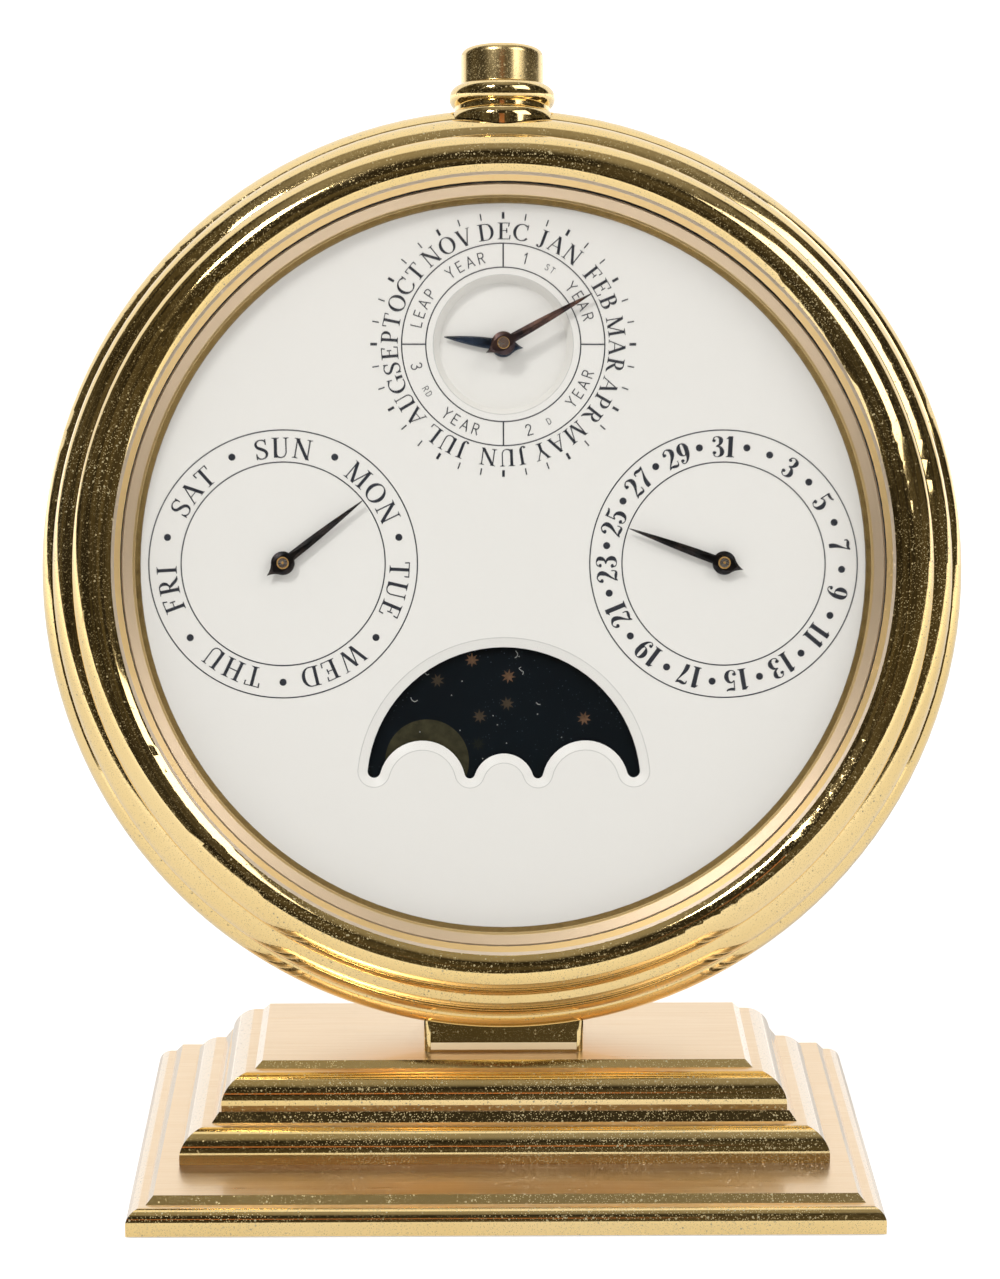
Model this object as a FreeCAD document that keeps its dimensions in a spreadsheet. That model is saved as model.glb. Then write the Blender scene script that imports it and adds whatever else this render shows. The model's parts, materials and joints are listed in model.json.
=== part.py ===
import FreeCAD, Part
import math
import os
import re
import Sketcher
from FreeCAD import Vector

# A perpetual desk calendar: a round case leans back on a stepped base. A push-button at twelve
# o'clock moves a slide inside, whose pawls step the day, date and moon wheels behind the dial.
# World frame: origin on the table under the middle of the base, X to the right, Y to the back,
# Z up. The case has a frame of its own, tilted back: across, up the dial, and out of the dial,
# with zero on the dial's face.

os.makedirs("parts", exist_ok=True)
doc = FreeCAD.newDocument("DeskCalendar")
sizes = doc.addObject("Spreadsheet::Sheet", "Sizes")

# Driving dimensions in millimetres and degrees, by the piece that they belong to.
DIMENSIONS = {
    "Stance of the case over the base": {
        "case_tilt": 18.0,
        "dial_height": 83.45,
        "dial_setback": 9.0,
    },
    "Fits and cutters": {
        "overrun": 1.0,
        "seat_gap": 0.05,
        "press_gap": 0.02,
        "running_gap": 0.06,
        "part_gap": 0.3,
    },
    "Base of three stepped plates": {
        "slab_width": 103.6,
        "slab_depth": 56.3,
        "slab_forward": 6.15,
        "slab_lift": 0.25,
        "slab_top": 4.7,
        "slab_face": 1.6,
        "slab_ovolo": 1.85,
        "slab_ledge": 0.75,
        "slab_bevel": 1.0,
        "middle_inset": 6.4,
        "middle_depth": 35.35,
        "middle_forward": 3.375,
        "middle_top": 10.35,
        "middle_face": 1.0,
        "middle_ovolo": 3.4,
        "middle_ledge": 0.9,
        "middle_bevel": 1.0,
        "upper_inset": 5.6,
        "upper_depth": 26.8,
        "upper_forward": 2.05,
        "upper_top": 15.65,
        "upper_face": 0.8,
        "upper_ovolo": 3.65,
        "upper_ledge": 0.9,
        "upper_bevel": 1.0,
        "pad_inset": 2.5,
        "pad_thickness": 1.0,
    },
    "Screws of the stand": {
        "base_screw_across": 27.0,
        "base_screw_back": 6.5,
        "base_screw_head_radius": 2.6,
        "base_screw_head_height": 1.8,
        "base_screw_shank_radius": 1.4,
        "base_screw_grip": 10.0,
        "stand_screw_across": 6.0,
        "stand_screw_head_radius": 2.6,
        "stand_screw_head_height": 1.8,
        "stand_screw_shank_radius": 1.4,
        "stand_screw_grip": 19.05,
        "sunk_head_depth": 2.0,
    },
    "Pedestal": {
        "pedestal_width": 22.7,
        "pedestal_depth": 14.2,
        "pedestal_height": 6.4,
        "pedestal_round": 0.9,
    },
    "Case body": {
        "plate_step": 2.0,
        "plate_ledge": 3.0,
        "plate_seat_drop": 0.4,
        "rear_wall": 3.0,
        "cover_ledge": 4.5,
        "cover_recess": 1.4,
        "case_front_rise": 3.5,
        "case_radius": 66.0,
        "case_round": 4.0,
        "case_front": -2.5,
        "case_groove": 0.35,
        "case_band": 1.5,
        "case_rear": -16.3,
        "rear_chamfer": 0.6,
        "spigot_seat_depth": 2.0,
        "cover_flange_thickness": 1.5,
    },
    "Bezel": {
        "ring_overhang": 2.07,
        "ring_ledge": 3.12,
        "ring_rise": 0.5,
        "bead_rise": 4.0,
        "bead_inner_width": 1.9,
        "lip_step": 0.4,
        "lip_step_rise": 3.0,
        "lip_slope": 0.8,
        "lip_rise": 2.15,
        "glass_lap": 1.85,
        "spigot_wall": 1.7,
        "spigot_step": 1.4,
        "ring_round": 4.0,
        "ring_edge": 0.2,
        "bead_round": 3.95,
        "bead_inner_round": 2.6,
        "lip_thickness": 0.3,
        "spigot_depth": 1.9,
    },
    "Glass, gasket and dial ring": {
        "gasket_width": 1.75,
        "dial_ring_margin": 0.1,
        "dial_ring_slope": 1.65,
        "dial_ring_edge": 0.75,
        "glass_thickness": 1.8,
        "glass_edge": 0.3,
        "gasket_thickness": 0.3,
        "dial_ring_land_height": 1.05,
        "dial_ring_land_width": 0.3,
    },
    "Dial": {
        "dial_margin": 1.4,
        "dial_thickness": 1.0,
        "subdial_offset": 31.23,
        "recess_radius": 10.0,
        "recess_floor_radius": 9.05,
        "recess_depth": 1.85,
        "year_disc_radius": 11.5,
        "year_disc_floor": 0.6,
        "aperture_radius": 19.4,
        "aperture_border": 1.35,
        "aperture_bevel_depth": 0.45,
        "hump_margin": 1.7,
        "hump_radius": 6.15,
        "hump_space": 1.09,
        "outer_tip_radius": 0.925,
        "inner_tip_radius": 0.75,
        "dial_hole_radius": 1.2,
        "post_radius": 0.8,
        "post_length": 3.6,
        "post_circle": 46.0,
        "post_bearing": 90.0,
    },
    "Plates of the movement": {
        "plate_screw_inset": 1.7,
        "plate_screw_bearing": 30.0,
        "main_plate_thickness": 1.7,
        "bridge_radius": 50.0,
        "bridge_front": -11.6,
        "bridge_thickness": 1.5,
        "pillar_radius": 2.2,
        "pillar_circle": 45.0,
        "pillar_bearing": 45.0,
        "pillar_tenon_radius": 1.1,
        "plate_screw_head_radius": 1.3,
        "plate_screw_head_height": 0.6,
        "plate_screw_shank_radius": 0.8,
        "plate_screw_grip": 4.5,
        "bridge_screw_head_radius": 1.8,
        "bridge_screw_head_height": 0.9,
        "bridge_screw_shank_radius": 0.8,
        "bridge_screw_grip": 4.5,
        "slot_width": 0.4,
        "slot_depth": 0.35,
        "notch_half_width": 2.3,
    },
    "Back cover": {
        "cover_screw_inset": 2.1,
        "cover_thickness": 1.3,
        "cover_rim_width": 4.2,
        "cover_sink": 0.4,
        "cover_screw_head_radius": 1.5,
        "cover_screw_head_height": 0.7,
        "cover_screw_shank_radius": 0.8,
        "cover_screw_grip": 2.6,
    },
    "Push-button": {
        "collar_reach": 5.5,
        "collar_floor_rise": 1.0,
        "collar_foot_rise": 3.6,
        "collar_rim": 2.5,
        "collar_bead_inset": 0.15,
        "button_play": 0.1,
        "button_foot_rise": 0.4,
        "button_skirt": 5.7,
        "button_roof": 1.4,
        "button_wall": 1.1,
        "tube_inset": 0.15,
        "tube_wall": 0.9,
        "tube_lip": 1.1,
        "stem_reach": 5.15,
        "clip_wall": 0.7,
        "spring_margin": 1.0,
        "button_level": -6.8,
        "button_radius": 6.0,
        "button_round": 1.2,
        "button_groove": 0.25,
        "button_dome": 0.6,
        "button_stem_hole": 0.9,
        "button_travel": 1.8,
        "collar_bead_radius": 1.75,
        "collar_neck_radius": 6.9,
        "collar_foot_radius": 1.8,
        "tube_head_height": 0.8,
        "stem_radius": 1.0,
        "clip_thickness": 0.5,
        "spring_wire_radius": 0.3,
        "spring_turns": 5.0,
    },
    "Calendar slide and its pawls": {
        "slide_lift": 1.0,
        "slide_thickness": 0.8,
        "slide_half_width": 3.0,
        "slide_tab_half_width": 2.5,
        "slide_tab_height": 3.5,
        "slide_tab_rise": 4.2,
        "slide_foot": 24.0,
        "slide_foot_height": 3.4,
        "arm_low": 2.5,
        "arm_high": 4.8,
        "slide_slot_half_width": 1.2,
        "guide_radius": 0.9,
        "guide_head_radius": 1.8,
        "guide_head_height": 0.6,
        "guide_tenon_radius": 0.7,
        "upper_guide_up": 12.0,
        "lower_guide_down": 14.0,
        "pawl_thickness": 0.7,
        "pawl_foot_width": 3.0,
        "pawl_foot_height": 2.4,
        "pawl_blade_width": 0.5,
        "pawl_offset": 1.2,
        "pawl_reach": 2.6,
        "spring_leaf": 0.4,
        "spring_foot_across": 19.5,
        "spring_foot_down": 28.5,
        "spring_foot_half": 1.9,
    },
    "Wheels behind the plate": {
        "wheel_clearance": 0.2,
        "wheel_thickness": 0.8,
        "arbor_radius": 0.8,
        "pivot_radius": 0.45,
        "pivot_length": 1.4,
        "arbor_top": 1.75,
        "day_star_radius": 6.2,
        "day_star_root_radius": 3.6,
        "day_teeth": 7,
        "date_wheel_radius": 9.5,
        "date_wheel_root_radius": 8.3,
        "date_teeth": 31,
        "month_star_radius": 7.0,
        "month_star_root_radius": 5.2,
        "month_teeth": 12,
        "moon_wheel_radius": 12.0,
        "moon_wheel_root_radius": 11.1,
        "moon_teeth": 59,
        "star_gap_share": 0.86,
        "wheel_gap_share": 0.72,
        "gap_root_share": 0.35,
    },
    "Leap-year train": {
        "cam_clearance": 0.2,
        "gear_layer_gap_above": 0.2,
        "gear_layer_gap": 0.35,
        "gear_module": 0.4,
        "pinion_teeth": 16,
        "gear_teeth": 32,
        "addendum_share": 0.8,
        "dedendum_share": 1.2,
        "gear_gap_share": 0.74,
        "gear_root_share": 0.42,
        "gear_thickness": 0.6,
        "pinion_thickness": 0.75,
        "reduction_arbor_radius": 0.6,
        "reduction_bearing": 210.0,
        "pipe_radius": 1.3,
        "pipe_top": -0.6,
        "cam_thickness": 0.6,
        "cam_radius": 9.0,
        "cam_short_month": 0.6,
        "cam_leap_february": 1.3,
        "cam_february": 1.8,
        "months": 48,
        "cam_notch_share": 0.9,
        "years": 4,
    },
    "Month lever": {
        "lever_thickness": 0.6,
        "lever_half_width": 0.9,
        "lever_gap": 0.3,
        "lever_arm": 8.0,
        "lever_pin_radius": 0.4,
        "lever_pin_clearance": 0.7,
        "lever_pin_bearing": 135.0,
        "lever_stud_radius": 0.8,
        "lever_hub_radius": 1.8,
        "lever_beak_angle": -30.0,
    },
    "Jumper springs": {
        "jumper_bearing": 180.0,
        "month_jumper_bearing": 105.0,
        "jumper_thickness": 0.6,
        "jumper_bite_share": 0.5,
        "jumper_beak_half_width": 0.35,
        "jumper_clear": 0.9,
        "jumper_blade": 0.7,
        "jumper_length": 9.0,
        "jumper_foot_width": 3.6,
        "jumper_foot_length": 4.0,
        "jumper_screw_radius": 0.7,
        "jumper_screw_head_radius": 1.4,
        "jumper_screw_head_height": 0.6,
        "jumper_spacer_radius": 1.5,
    },
    "Hands and moon disc": {
        "hand_thickness": 0.5,
        "hand_hub_radius": 1.68,
        "hand_half_width": 0.64,
        "hand_tip_half_width": 0.08,
        "hand_tail": 2.85,
        "hand_tail_half_width": 0.9,
        "day_hand_length": 14.3,
        "date_hand_length": 14.3,
        "month_hand_length": 14.45,
        "leap_hand_length": 8.5,
        "hand_level": 1.0,
        "month_hand_level": 1.2,
        "month_arbor_top": 2.05,
        "leap_hand_level": -1.15,
        "leap_hand_thickness": 0.4,
        "day_hand_angle": 51.8,
        "date_hand_angle": 290.0,
        "month_hand_angle": 60.6,
        "leap_hand_angle": 278.0,
        "moon_disc_lap": 0.8,
        "moon_disc_level": -2.1,
        "moon_disc_thickness": 0.5,
    },
}

row = 0
for section in DIMENSIONS.values():
    for name, number in section.items():
        row += 1
        sizes.set("A%d" % row, name)
        sizes.set("B%d" % row, str(number))
        sizes.setAlias("B%d" % row, name)
doc.recompute()
ALIASES = {name for section in DIMENSIONS.values() for name in section}

# Sizes worked out from the driving ones, so that what fits together changes together.
WORKED_OUT = {
    # Case body and its seats
    "spigot_seat_radius": "case_radius - case_round",
    "plate_seat_radius": "spigot_seat_radius - plate_step",
    "case_bore_radius": "plate_seat_radius - plate_ledge",
    "cover_seat_radius": "spigot_seat_radius - rear_wall",
    "cover_flange_radius": "cover_seat_radius - cover_ledge",
    "case_shoulder": "case_front - case_front_rise",
    "cover_seat": "case_rear + cover_recess",
    "plate_seat": "case_front - spigot_seat_depth - plate_seat_drop",
    # Bezel, from the case inward
    "ring_radius": "spigot_seat_radius + ring_overhang",
    "bead_foot_radius": "ring_radius - ring_ledge",
    "bead_inner_radius": "bead_foot_radius - bead_round - bead_inner_width",
    "lip_step_radius": "bead_inner_radius - lip_step",
    "lip_radius": "lip_step_radius - lip_slope",
    "glass_pocket_radius": "lip_radius + glass_lap",
    "spigot_inner_radius": "spigot_seat_radius - spigot_wall",
    "ring_pocket_radius": "spigot_inner_radius - spigot_step",
    "ring_level": "case_front + ring_rise",
    "bead_level": "ring_level + bead_rise",
    "lip_step_level": "bead_level + lip_step_rise",
    "lip_level": "bead_level + lip_rise",
    # Inside the bezel
    "gasket_radius": "glass_pocket_radius - gasket_width",
    "dial_ring_wall_radius": "lip_radius - dial_ring_margin",
    "dial_ring_land_radius": "dial_ring_wall_radius - dial_ring_slope",
    "dial_opening_radius": "dial_ring_land_radius - dial_ring_edge",
    "dial_ring_height": "lip_level - glass_thickness - gasket_thickness - 3 * seat_gap",
    "dial_radius": "ring_pocket_radius - dial_margin",
    "main_plate_radius": "plate_seat_radius - 2 * seat_gap",
    "plate_screw_circle": "plate_seat_radius - plate_screw_inset",
    "cover_radius": "cover_seat_radius - 2 * seat_gap",
    "cover_screw_circle": "cover_seat_radius - cover_screw_inset",
    # Moon window and the disc behind it
    "hump_offset": "aperture_radius - hump_radius - hump_margin",
    "middle_hump_radius": "hump_offset - hump_radius - hump_space",
    "moon_disc_radius": "aperture_radius + moon_disc_lap",
    # Push-button, outward from the case
    "collar_root": "case_radius - collar_reach",
    "collar_floor": "case_radius + collar_floor_rise",
    "collar_foot_level": "collar_root + collar_foot_rise",
    "collar_top": "collar_floor + collar_rim",
    "collar_bore_radius": "button_radius + button_play",
    "collar_bead_centre": "collar_bore_radius - collar_bead_inset",
    "collar_foot_centre": "collar_bore_radius",
    "button_foot": "collar_floor + button_travel + button_foot_rise",
    "button_shoulder": "button_foot + button_skirt",
    "button_ceiling": "button_shoulder - button_roof",
    "button_groove_radius": "button_radius - button_round",
    "button_bore_radius": "button_radius - button_wall",
    "tube_inner_end": "case_bore_radius + tube_inset",
    "stem_foot": "tube_inner_end - stem_reach",
    "tube_radius": "stem_radius + tube_wall",
    "tube_head_radius": "tube_radius + tube_lip",
    "clip_radius": "stem_radius + clip_wall",
    "spring_radius": "button_bore_radius - spring_margin",
    # Levels behind the dial
    "slide_front": "bridge_front + slide_lift + slide_thickness",
    "wheel_front": "slide_front + wheel_clearance + wheel_thickness",
    "reduction_level": "leap_level - gear_thickness - gear_layer_gap",
    "leap_level": "cam_level - gear_layer_gap_above - gear_thickness",
    "cam_level": "plate_seat - cam_clearance - cam_thickness",
}


def expand(text):
    """Put the formula of each worked-out size in its place."""
    def own_formula(word):
        name = word[0]
        return "(%s)" % expand(WORKED_OUT[name]) if name in WORKED_OUT else name
    return re.sub(r"[a-z_]+", own_formula, text)


def value(text):
    """Read a formula of the sheet's names as a plain number."""
    result = sizes.evalExpression(expand(text))
    return float(getattr(result, "Value", result))


def bound(text):
    """Write a formula so that an object outside the sheet can follow it."""
    return re.sub(r"[a-z_]+", lambda word: ("Sizes." if word[0] in ALIASES else "") + word[0], expand(text))


# Frames that pieces are placed in. A frame is a formula, so each piece follows the sheet.
CASE = "placement(vector(0; dial_setback; dial_height); rotation(vector(1; 0; 0); 90 - case_tilt))"
WORLD = "placement(vector(0; 0; 0); rotation(vector(0; 0; 1); 0))"


def place(piece, frame, across="0", up="0", out="0", turn="0", axis="0; 0; 1"):
    """Give a piece its place in a frame, turned by an angle about one axis."""
    local = "placement(vector(%s; %s; %s); rotation(vector(%s); %s))" % (across, up, out, axis, turn)
    piece.setExpression("Placement", bound(frame + " * " + local))
    return piece


def on_button(piece, along="0"):
    """Place a piece on the push-button's axis, its own Z pointing away from the case."""
    return place(piece, CASE, "0", along, "button_level", "-90", "1; 0; 0")


# Drawing. A point is (x, y), or (x, y, radius, side) where an arc leaves it, with the arc's
# centre to the left of the way for side 1 and to the right for side -1.
def new_body(label):
    body = doc.addObject("PartDesign::Body", label)
    body.Label = label
    return body


def new_sketch(body, role, height="0"):
    sketch = body.newObject("Sketcher::SketchObject", body.Label + "_sketch")
    origin_plane = next(item for item in body.Origin.OriginFeatures if item.Role == role)
    sketch.AttachmentSupport = [(origin_plane, "")]
    sketch.MapMode = "FlatFace"
    if height != "0":
        sketch.setExpression("AttachmentOffset.Base.z", bound(height))
    return sketch


def fix(sketch, kind, text, *where):
    index = sketch.addConstraint(Sketcher.Constraint(kind, *where, value(text)))
    if text != "0":
        sketch.setExpression("Constraints[%d]" % index, bound(text))


def arc_between(start, end, radius, side):
    chord = end - start
    across = Vector(-chord.y, chord.x, 0).normalize()
    rise = math.sqrt(max(radius ** 2 - chord.Length ** 2 / 4, 0))
    centre = (start + end) * 0.5 + across * (rise * side)
    first, last = (start, end) if side > 0 else (end, start)
    angles = [math.atan2(point.y - centre.y, point.x - centre.x) for point in (first, last)]
    return Part.ArcOfCircle(Part.Circle(centre, Vector(0, 0, 1), radius), *angles)


def draw(sketch, points):
    """Add one closed outline, each corner held by two formulas and each arc by its radius."""
    spots = [Vector(value(point[0]), value(point[1]), 0) for point in points]
    base = len(sketch.Geometry)
    ends = []
    for index, point in enumerate(points):
        following = spots[(index + 1) % len(points)]
        if len(point) == 2:
            sketch.addGeometry(Part.LineSegment(spots[index], following))
            ends.append((1, 2))
        else:
            sketch.addGeometry(arc_between(spots[index], following, value(point[2]), point[3]))
            ends.append((1, 2) if point[3] > 0 else (2, 1))
    for index, point in enumerate(points):
        after = (index + 1) % len(points)
        here = (base + index, ends[index][0])
        joint = (base + index, ends[index][1], base + after, ends[after][0])
        sketch.addConstraint(Sketcher.Constraint("Coincident", *joint))
        fix(sketch, "DistanceX", point[0], -1, 1, *here)
        fix(sketch, "DistanceY", point[1], -1, 1, *here)
        if len(point) == 4:
            fix(sketch, "Radius", point[2], base + index)
    return sketch


def draw_circle(sketch, across, up, radius):
    index = len(sketch.Geometry)
    centre = Vector(value(across), value(up), 0)
    sketch.addGeometry(Part.Circle(centre, Vector(0, 0, 1), value(radius)))
    fix(sketch, "DistanceX", across, -1, 1, index, 3)
    fix(sketch, "DistanceY", up, -1, 1, index, 3)
    fix(sketch, "Radius", radius, index)
    return sketch


def spin(body, points):
    """Turn an outline of (radius, height) points about the body's Z axis."""
    sketch = draw(new_sketch(body, "XZ_Plane"), points)
    feature = body.newObject("PartDesign::Revolution", body.Label + "_turned")
    feature.Profile = sketch
    feature.ReferenceAxis = (sketch, ["V_Axis"])
    feature.Angle = 360
    return body


def pad(body, sketch, thickness, both_sides=False):
    feature = body.newObject("PartDesign::Pad", body.Label + "_pad")
    feature.Profile = sketch
    feature.Midplane = both_sides
    feature.setExpression("Length", bound(thickness))
    return feature


def pocket(body, sketch, depth=None, upward=False):
    """Cut a sketch out of a body, right through unless a depth is given, and prove the cut."""
    doc.recompute()
    before = body.Shape.Volume
    feature = body.newObject("PartDesign::Pocket", body.Label + "_pocket")
    feature.Profile = sketch
    feature.Reversed = upward
    if depth is None:
        feature.Type = "ThroughAll"
        feature.Midplane = True
    else:
        feature.setExpression("Length", bound(depth))
    doc.recompute()
    if not body.Shape.Volume < before:
        raise RuntimeError(body.Label + ": a pocket cut nothing")
    return feature


def repeat(body, features, count):
    """Repeat cuts round the body's Z axis."""
    feature = body.newObject("PartDesign::PolarPattern", body.Label + "_pattern")
    feature.Originals = features
    feature.Axis = (features[0].Profile[0], ["N_Axis"])
    feature.Angle = 360
    feature.setExpression("Occurrences", bound(count))
    body.Tip = feature
    return feature


def washer(label, outer, bore, low, thickness):
    """A flat round piece with a hole, from one level up through its thickness."""
    top = "%s + %s" % (low, thickness)
    return spin(new_body(label), [(bore, low), (outer, low), (outer, top), (bore, top)])


PIECES = []


def keep(piece, frame=None, **where):
    """Count a sub-part in, and give it its place when one is named."""
    if frame:
        place(piece, frame, **where)
    PIECES.append(piece)
    return piece


def cylinder(label, radius, height, low="0"):
    piece = doc.addObject("Part::Cylinder", label)
    piece.setExpression("Radius", bound(radius))
    piece.setExpression("Height", bound(height))
    if low != "0":
        piece.setExpression("Placement.Base.z", bound(low))
    return piece


def block(label, length, width, height, low="0"):
    """A box centred on the Z axis."""
    piece = doc.addObject("Part::Box", label)
    for side, text in (("Length", length), ("Width", width), ("Height", height)):
        piece.setExpression(side, bound(text))
    piece.setExpression("Placement.Base.x", bound("-(%s) / 2" % length))
    piece.setExpression("Placement.Base.y", bound("-(%s) / 2" % width))
    piece.setExpression("Placement.Base.z", bound(low))
    return piece


def fused(label, members):
    piece = doc.addObject("Part::MultiFuse", label)
    piece.Shapes = members
    return piece


def cut_from(label, base, tools):
    tool = tools[0] if len(tools) == 1 else fused(label + "_tools", tools)
    piece = doc.addObject("Part::Cut", label)
    piece.Base = base
    piece.Tool = tool
    return piece


def group(label, members):
    """Several like pieces that share one node, each a separate solid."""
    piece = doc.addObject("Part::Compound", label)
    piece.Links = members
    return piece


def screw(label, kind):
    """A slotted screw: its head stands on zero and its shank reaches down by its grip."""
    head = cylinder(label + "_head", kind + "_head_radius", kind + "_head_height")
    shank = cylinder(label + "_shank", kind + "_shank_radius", kind + "_grip", "-" + kind + "_grip")
    slot_low = "%s_head_height - slot_depth" % kind
    slot = block(label + "_slot", "2 * %s_head_radius + overrun" % kind, "slot_width",
                 "slot_depth + overrun", slot_low)
    return cut_from(label, fused(label + "_blank", [head, shank]), [slot])


def screws(label, kind, spots, frame, out, turn="0"):
    """A node of like screws at (across, up) spots of a frame, all facing the same way."""
    members = []
    for index, (across, up) in enumerate(spots):
        piece = screw("%s_%d" % (label, index + 1), kind)
        members.append(place(piece, WORLD, across, up, out, turn, "1; 0; 0"))
    return keep(group(label, members), frame)


def ring_of_spots(radius, count, first):
    """Spots evenly round a circle, the first one at a bearing anticlockwise from the right."""
    spots = []
    for index in range(count):
        angle = "%s + %s" % (first, 360.0 * index / count)
        spots.append(("%s * cos(%s)" % (radius, angle), "%s * sin(%s)" % (radius, angle)))
    return spots


# Base: three moulded plates, one on the other. Each has its moulding on the front and both sides
# and a plain back, so one profile is extruded from front to back and cut once more along the front.
def moulding(half, low, top, face, ovolo, ledge, bevel):
    """Right-hand profile of a plate, from its foot to its top, as (distance out, height)."""
    step = "%s + %s + %s" % (low, face, ovolo)
    return [
        (half, low),
        (half, "%s + %s" % (low, face), ovolo, 1),
        ("%s - %s" % (half, ovolo), step),
        ("%s - %s - %s" % (half, ovolo, ledge), step),
        ("%s - %s - %s - %s" % (half, ovolo, ledge, bevel), top),
    ]


def mirrored(points):
    """The same profile on the other side, in the order that closes the outline."""
    flipped = []
    for index in range(len(points) - 1, -1, -1):
        across, height = points[index][:2]
        arc = points[index - 1][2:] if index else ()
        flipped.append(("-(%s)" % across, height) + tuple(arc))
    return flipped


def moulded_plate(label, half_width, half_depth, low, top, edge):
    body = new_body(label)
    front = moulding(half_width, low, top, *edge)
    pad(body, draw(new_sketch(body, "XZ_Plane"), front + mirrored(front)),
        "2 * (%s)" % half_depth, both_sides=True)
    side = moulding(half_depth, low, top, *edge)
    waste = side + [
        (side[-1][0], "%s + overrun" % top),
        ("%s + overrun" % half_depth, "%s + overrun" % top),
        ("%s + overrun" % half_depth, "%s - overrun" % low),
        (half_depth, "%s - overrun" % low),
    ]
    pocket(body, draw(new_sketch(body, "YZ_Plane"), mirrored(waste)))
    return body


BASE_SPOTS = [("base_screw_across", "base_screw_back - upper_forward"),
              ("-base_screw_across", "base_screw_back - upper_forward"),
              ("base_screw_across", "-base_screw_back - upper_forward"),
              ("-base_screw_across", "-base_screw_back - upper_forward")]
STAND_SPOTS = [("stand_screw_across", "0"), ("-stand_screw_across", "0")]


def stand_holes(body, height, spots, radius, depth=None, upward=False):
    sketch = new_sketch(body, "XY_Plane", height)
    for across, back in spots:
        draw_circle(sketch, across, back, radius)
    pocket(body, sketch, depth, upward)


# The plates stand further forward than the pedestal, the lowest one most.
def forward_by(distance):
    return "placement(vector(0; -%s; 0); rotation(vector(0; 0; 1); 0))" % distance


def seen_from(spots, forward):
    """Spots of the pedestal's frame, as a plate that stands forward of it counts them."""
    return [(across, "%s + %s" % (back, forward)) for across, back in spots]


SLAB_HALF = ("slab_width / 2", "slab_depth / 2")
MIDDLE_HALF = ("slab_width / 2 - middle_inset", "middle_depth / 2")
UPPER_HALF = ("slab_width / 2 - middle_inset - upper_inset", "upper_depth / 2")
SLAB_SPOTS = seen_from(BASE_SPOTS + STAND_SPOTS, "slab_forward")
MIDDLE_SPOTS = seen_from(BASE_SPOTS + STAND_SPOTS, "middle_forward")

base_plate = moulded_plate("base_plate", *SLAB_HALF, "slab_lift", "slab_top",
                           ("slab_face", "slab_ovolo", "slab_ledge", "slab_bevel"))
pad_half = ("slab_width / 2 - pad_inset", "slab_depth / 2 - pad_inset")


def rectangle(half_width, half_depth):
    low_across, low_back = "-(%s)" % half_width, "-(%s)" % half_depth
    return [(low_across, low_back), (half_width, low_back), (half_width, half_depth), (low_across, half_depth)]


recess = draw(new_sketch(base_plate, "XY_Plane", "pad_thickness"),
              rectangle(pad_half[0] + " + seat_gap", pad_half[1] + " + seat_gap"))
pocket(base_plate, recess, "pad_thickness")
stand_holes(base_plate, "pad_thickness", SLAB_SPOTS, "base_screw_head_radius + running_gap",
            "sunk_head_depth", upward=True)
stand_holes(base_plate, "slab_top", SLAB_SPOTS, "base_screw_shank_radius + running_gap")
keep(base_plate, forward_by("slab_forward"))

base_middle = moulded_plate("base_middle", *MIDDLE_HALF, "slab_top", "middle_top",
                            ("middle_face", "middle_ovolo", "middle_ledge", "middle_bevel"))
stand_holes(base_middle, "middle_top", MIDDLE_SPOTS, "base_screw_shank_radius + running_gap")
keep(base_middle, forward_by("middle_forward"))

base_top = moulded_plate("base_top", *UPPER_HALF, "middle_top", "upper_top",
                         ("upper_face", "upper_ovolo", "upper_ledge", "upper_bevel"))
stand_holes(base_top, "upper_top", seen_from(STAND_SPOTS, "upper_forward"),
            "stand_screw_shank_radius + running_gap")
head_seat = "pad_thickness + sunk_head_depth"
stand_holes(base_top, "middle_top", seen_from(BASE_SPOTS, "upper_forward"),
            "base_screw_shank_radius + press_gap",
            head_seat + " + base_screw_grip + part_gap - middle_top", upward=True)
keep(base_top, forward_by("upper_forward"))

foot_pad = new_body("foot_pad")
pad(foot_pad, draw(new_sketch(foot_pad, "XY_Plane"), rectangle(*pad_half)), "pad_thickness")
keep(foot_pad, forward_by("slab_forward"))

screws("base_screws", "base_screw", [(across, "-(%s)" % back) for across, back in BASE_SPOTS],
       "placement(vector(0; 0; 0); rotation(vector(1; 0; 0); 180))", "-(%s)" % head_seat)
screws("stand_screws", "stand_screw", STAND_SPOTS,
       "placement(vector(0; 0; 0); rotation(vector(1; 0; 0); 180))", "-(%s)" % head_seat)


# Outer form of the case behind the bezel: a rounded shoulder at the front and one at the back.
# The pedestal and the button's collar are cut to the same form, a gap larger.
def quarter(centre, radius, drop):
    """How far out a rounded shoulder stands at some height above its widest place."""
    return "%s + sqrt((%s) ^ 2 - (%s) ^ 2)" % (centre, radius, drop)


ROUND_CENTRE = "(case_radius - case_round)"
CASE_EDGE = "(case_front - case_groove)"
BAND_REAR = "(case_shoulder - case_band)"


def case_outline(gap):
    """Outer points of the case from front to back, moved out by a gap."""
    edge = quarter(ROUND_CENTRE, "case_round + %s" % gap, "%s - case_shoulder" % CASE_EDGE)
    rear_radius = "%s + %s" % (ROUND_CENTRE, gap)
    return [
        (edge, CASE_EDGE, "case_round + %s" % gap, -1),
        ("case_radius + %s" % gap, "case_shoulder"),
        ("case_radius + %s" % gap, BAND_REAR, "case_round + %s" % gap, -1),
        (rear_radius, "%s - case_round - %s" % (BAND_REAR, gap)),
        (rear_radius, "case_rear + rear_chamfer"),
        ("%s - rear_chamfer" % rear_radius, "case_rear - %s" % gap),
    ]


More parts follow.
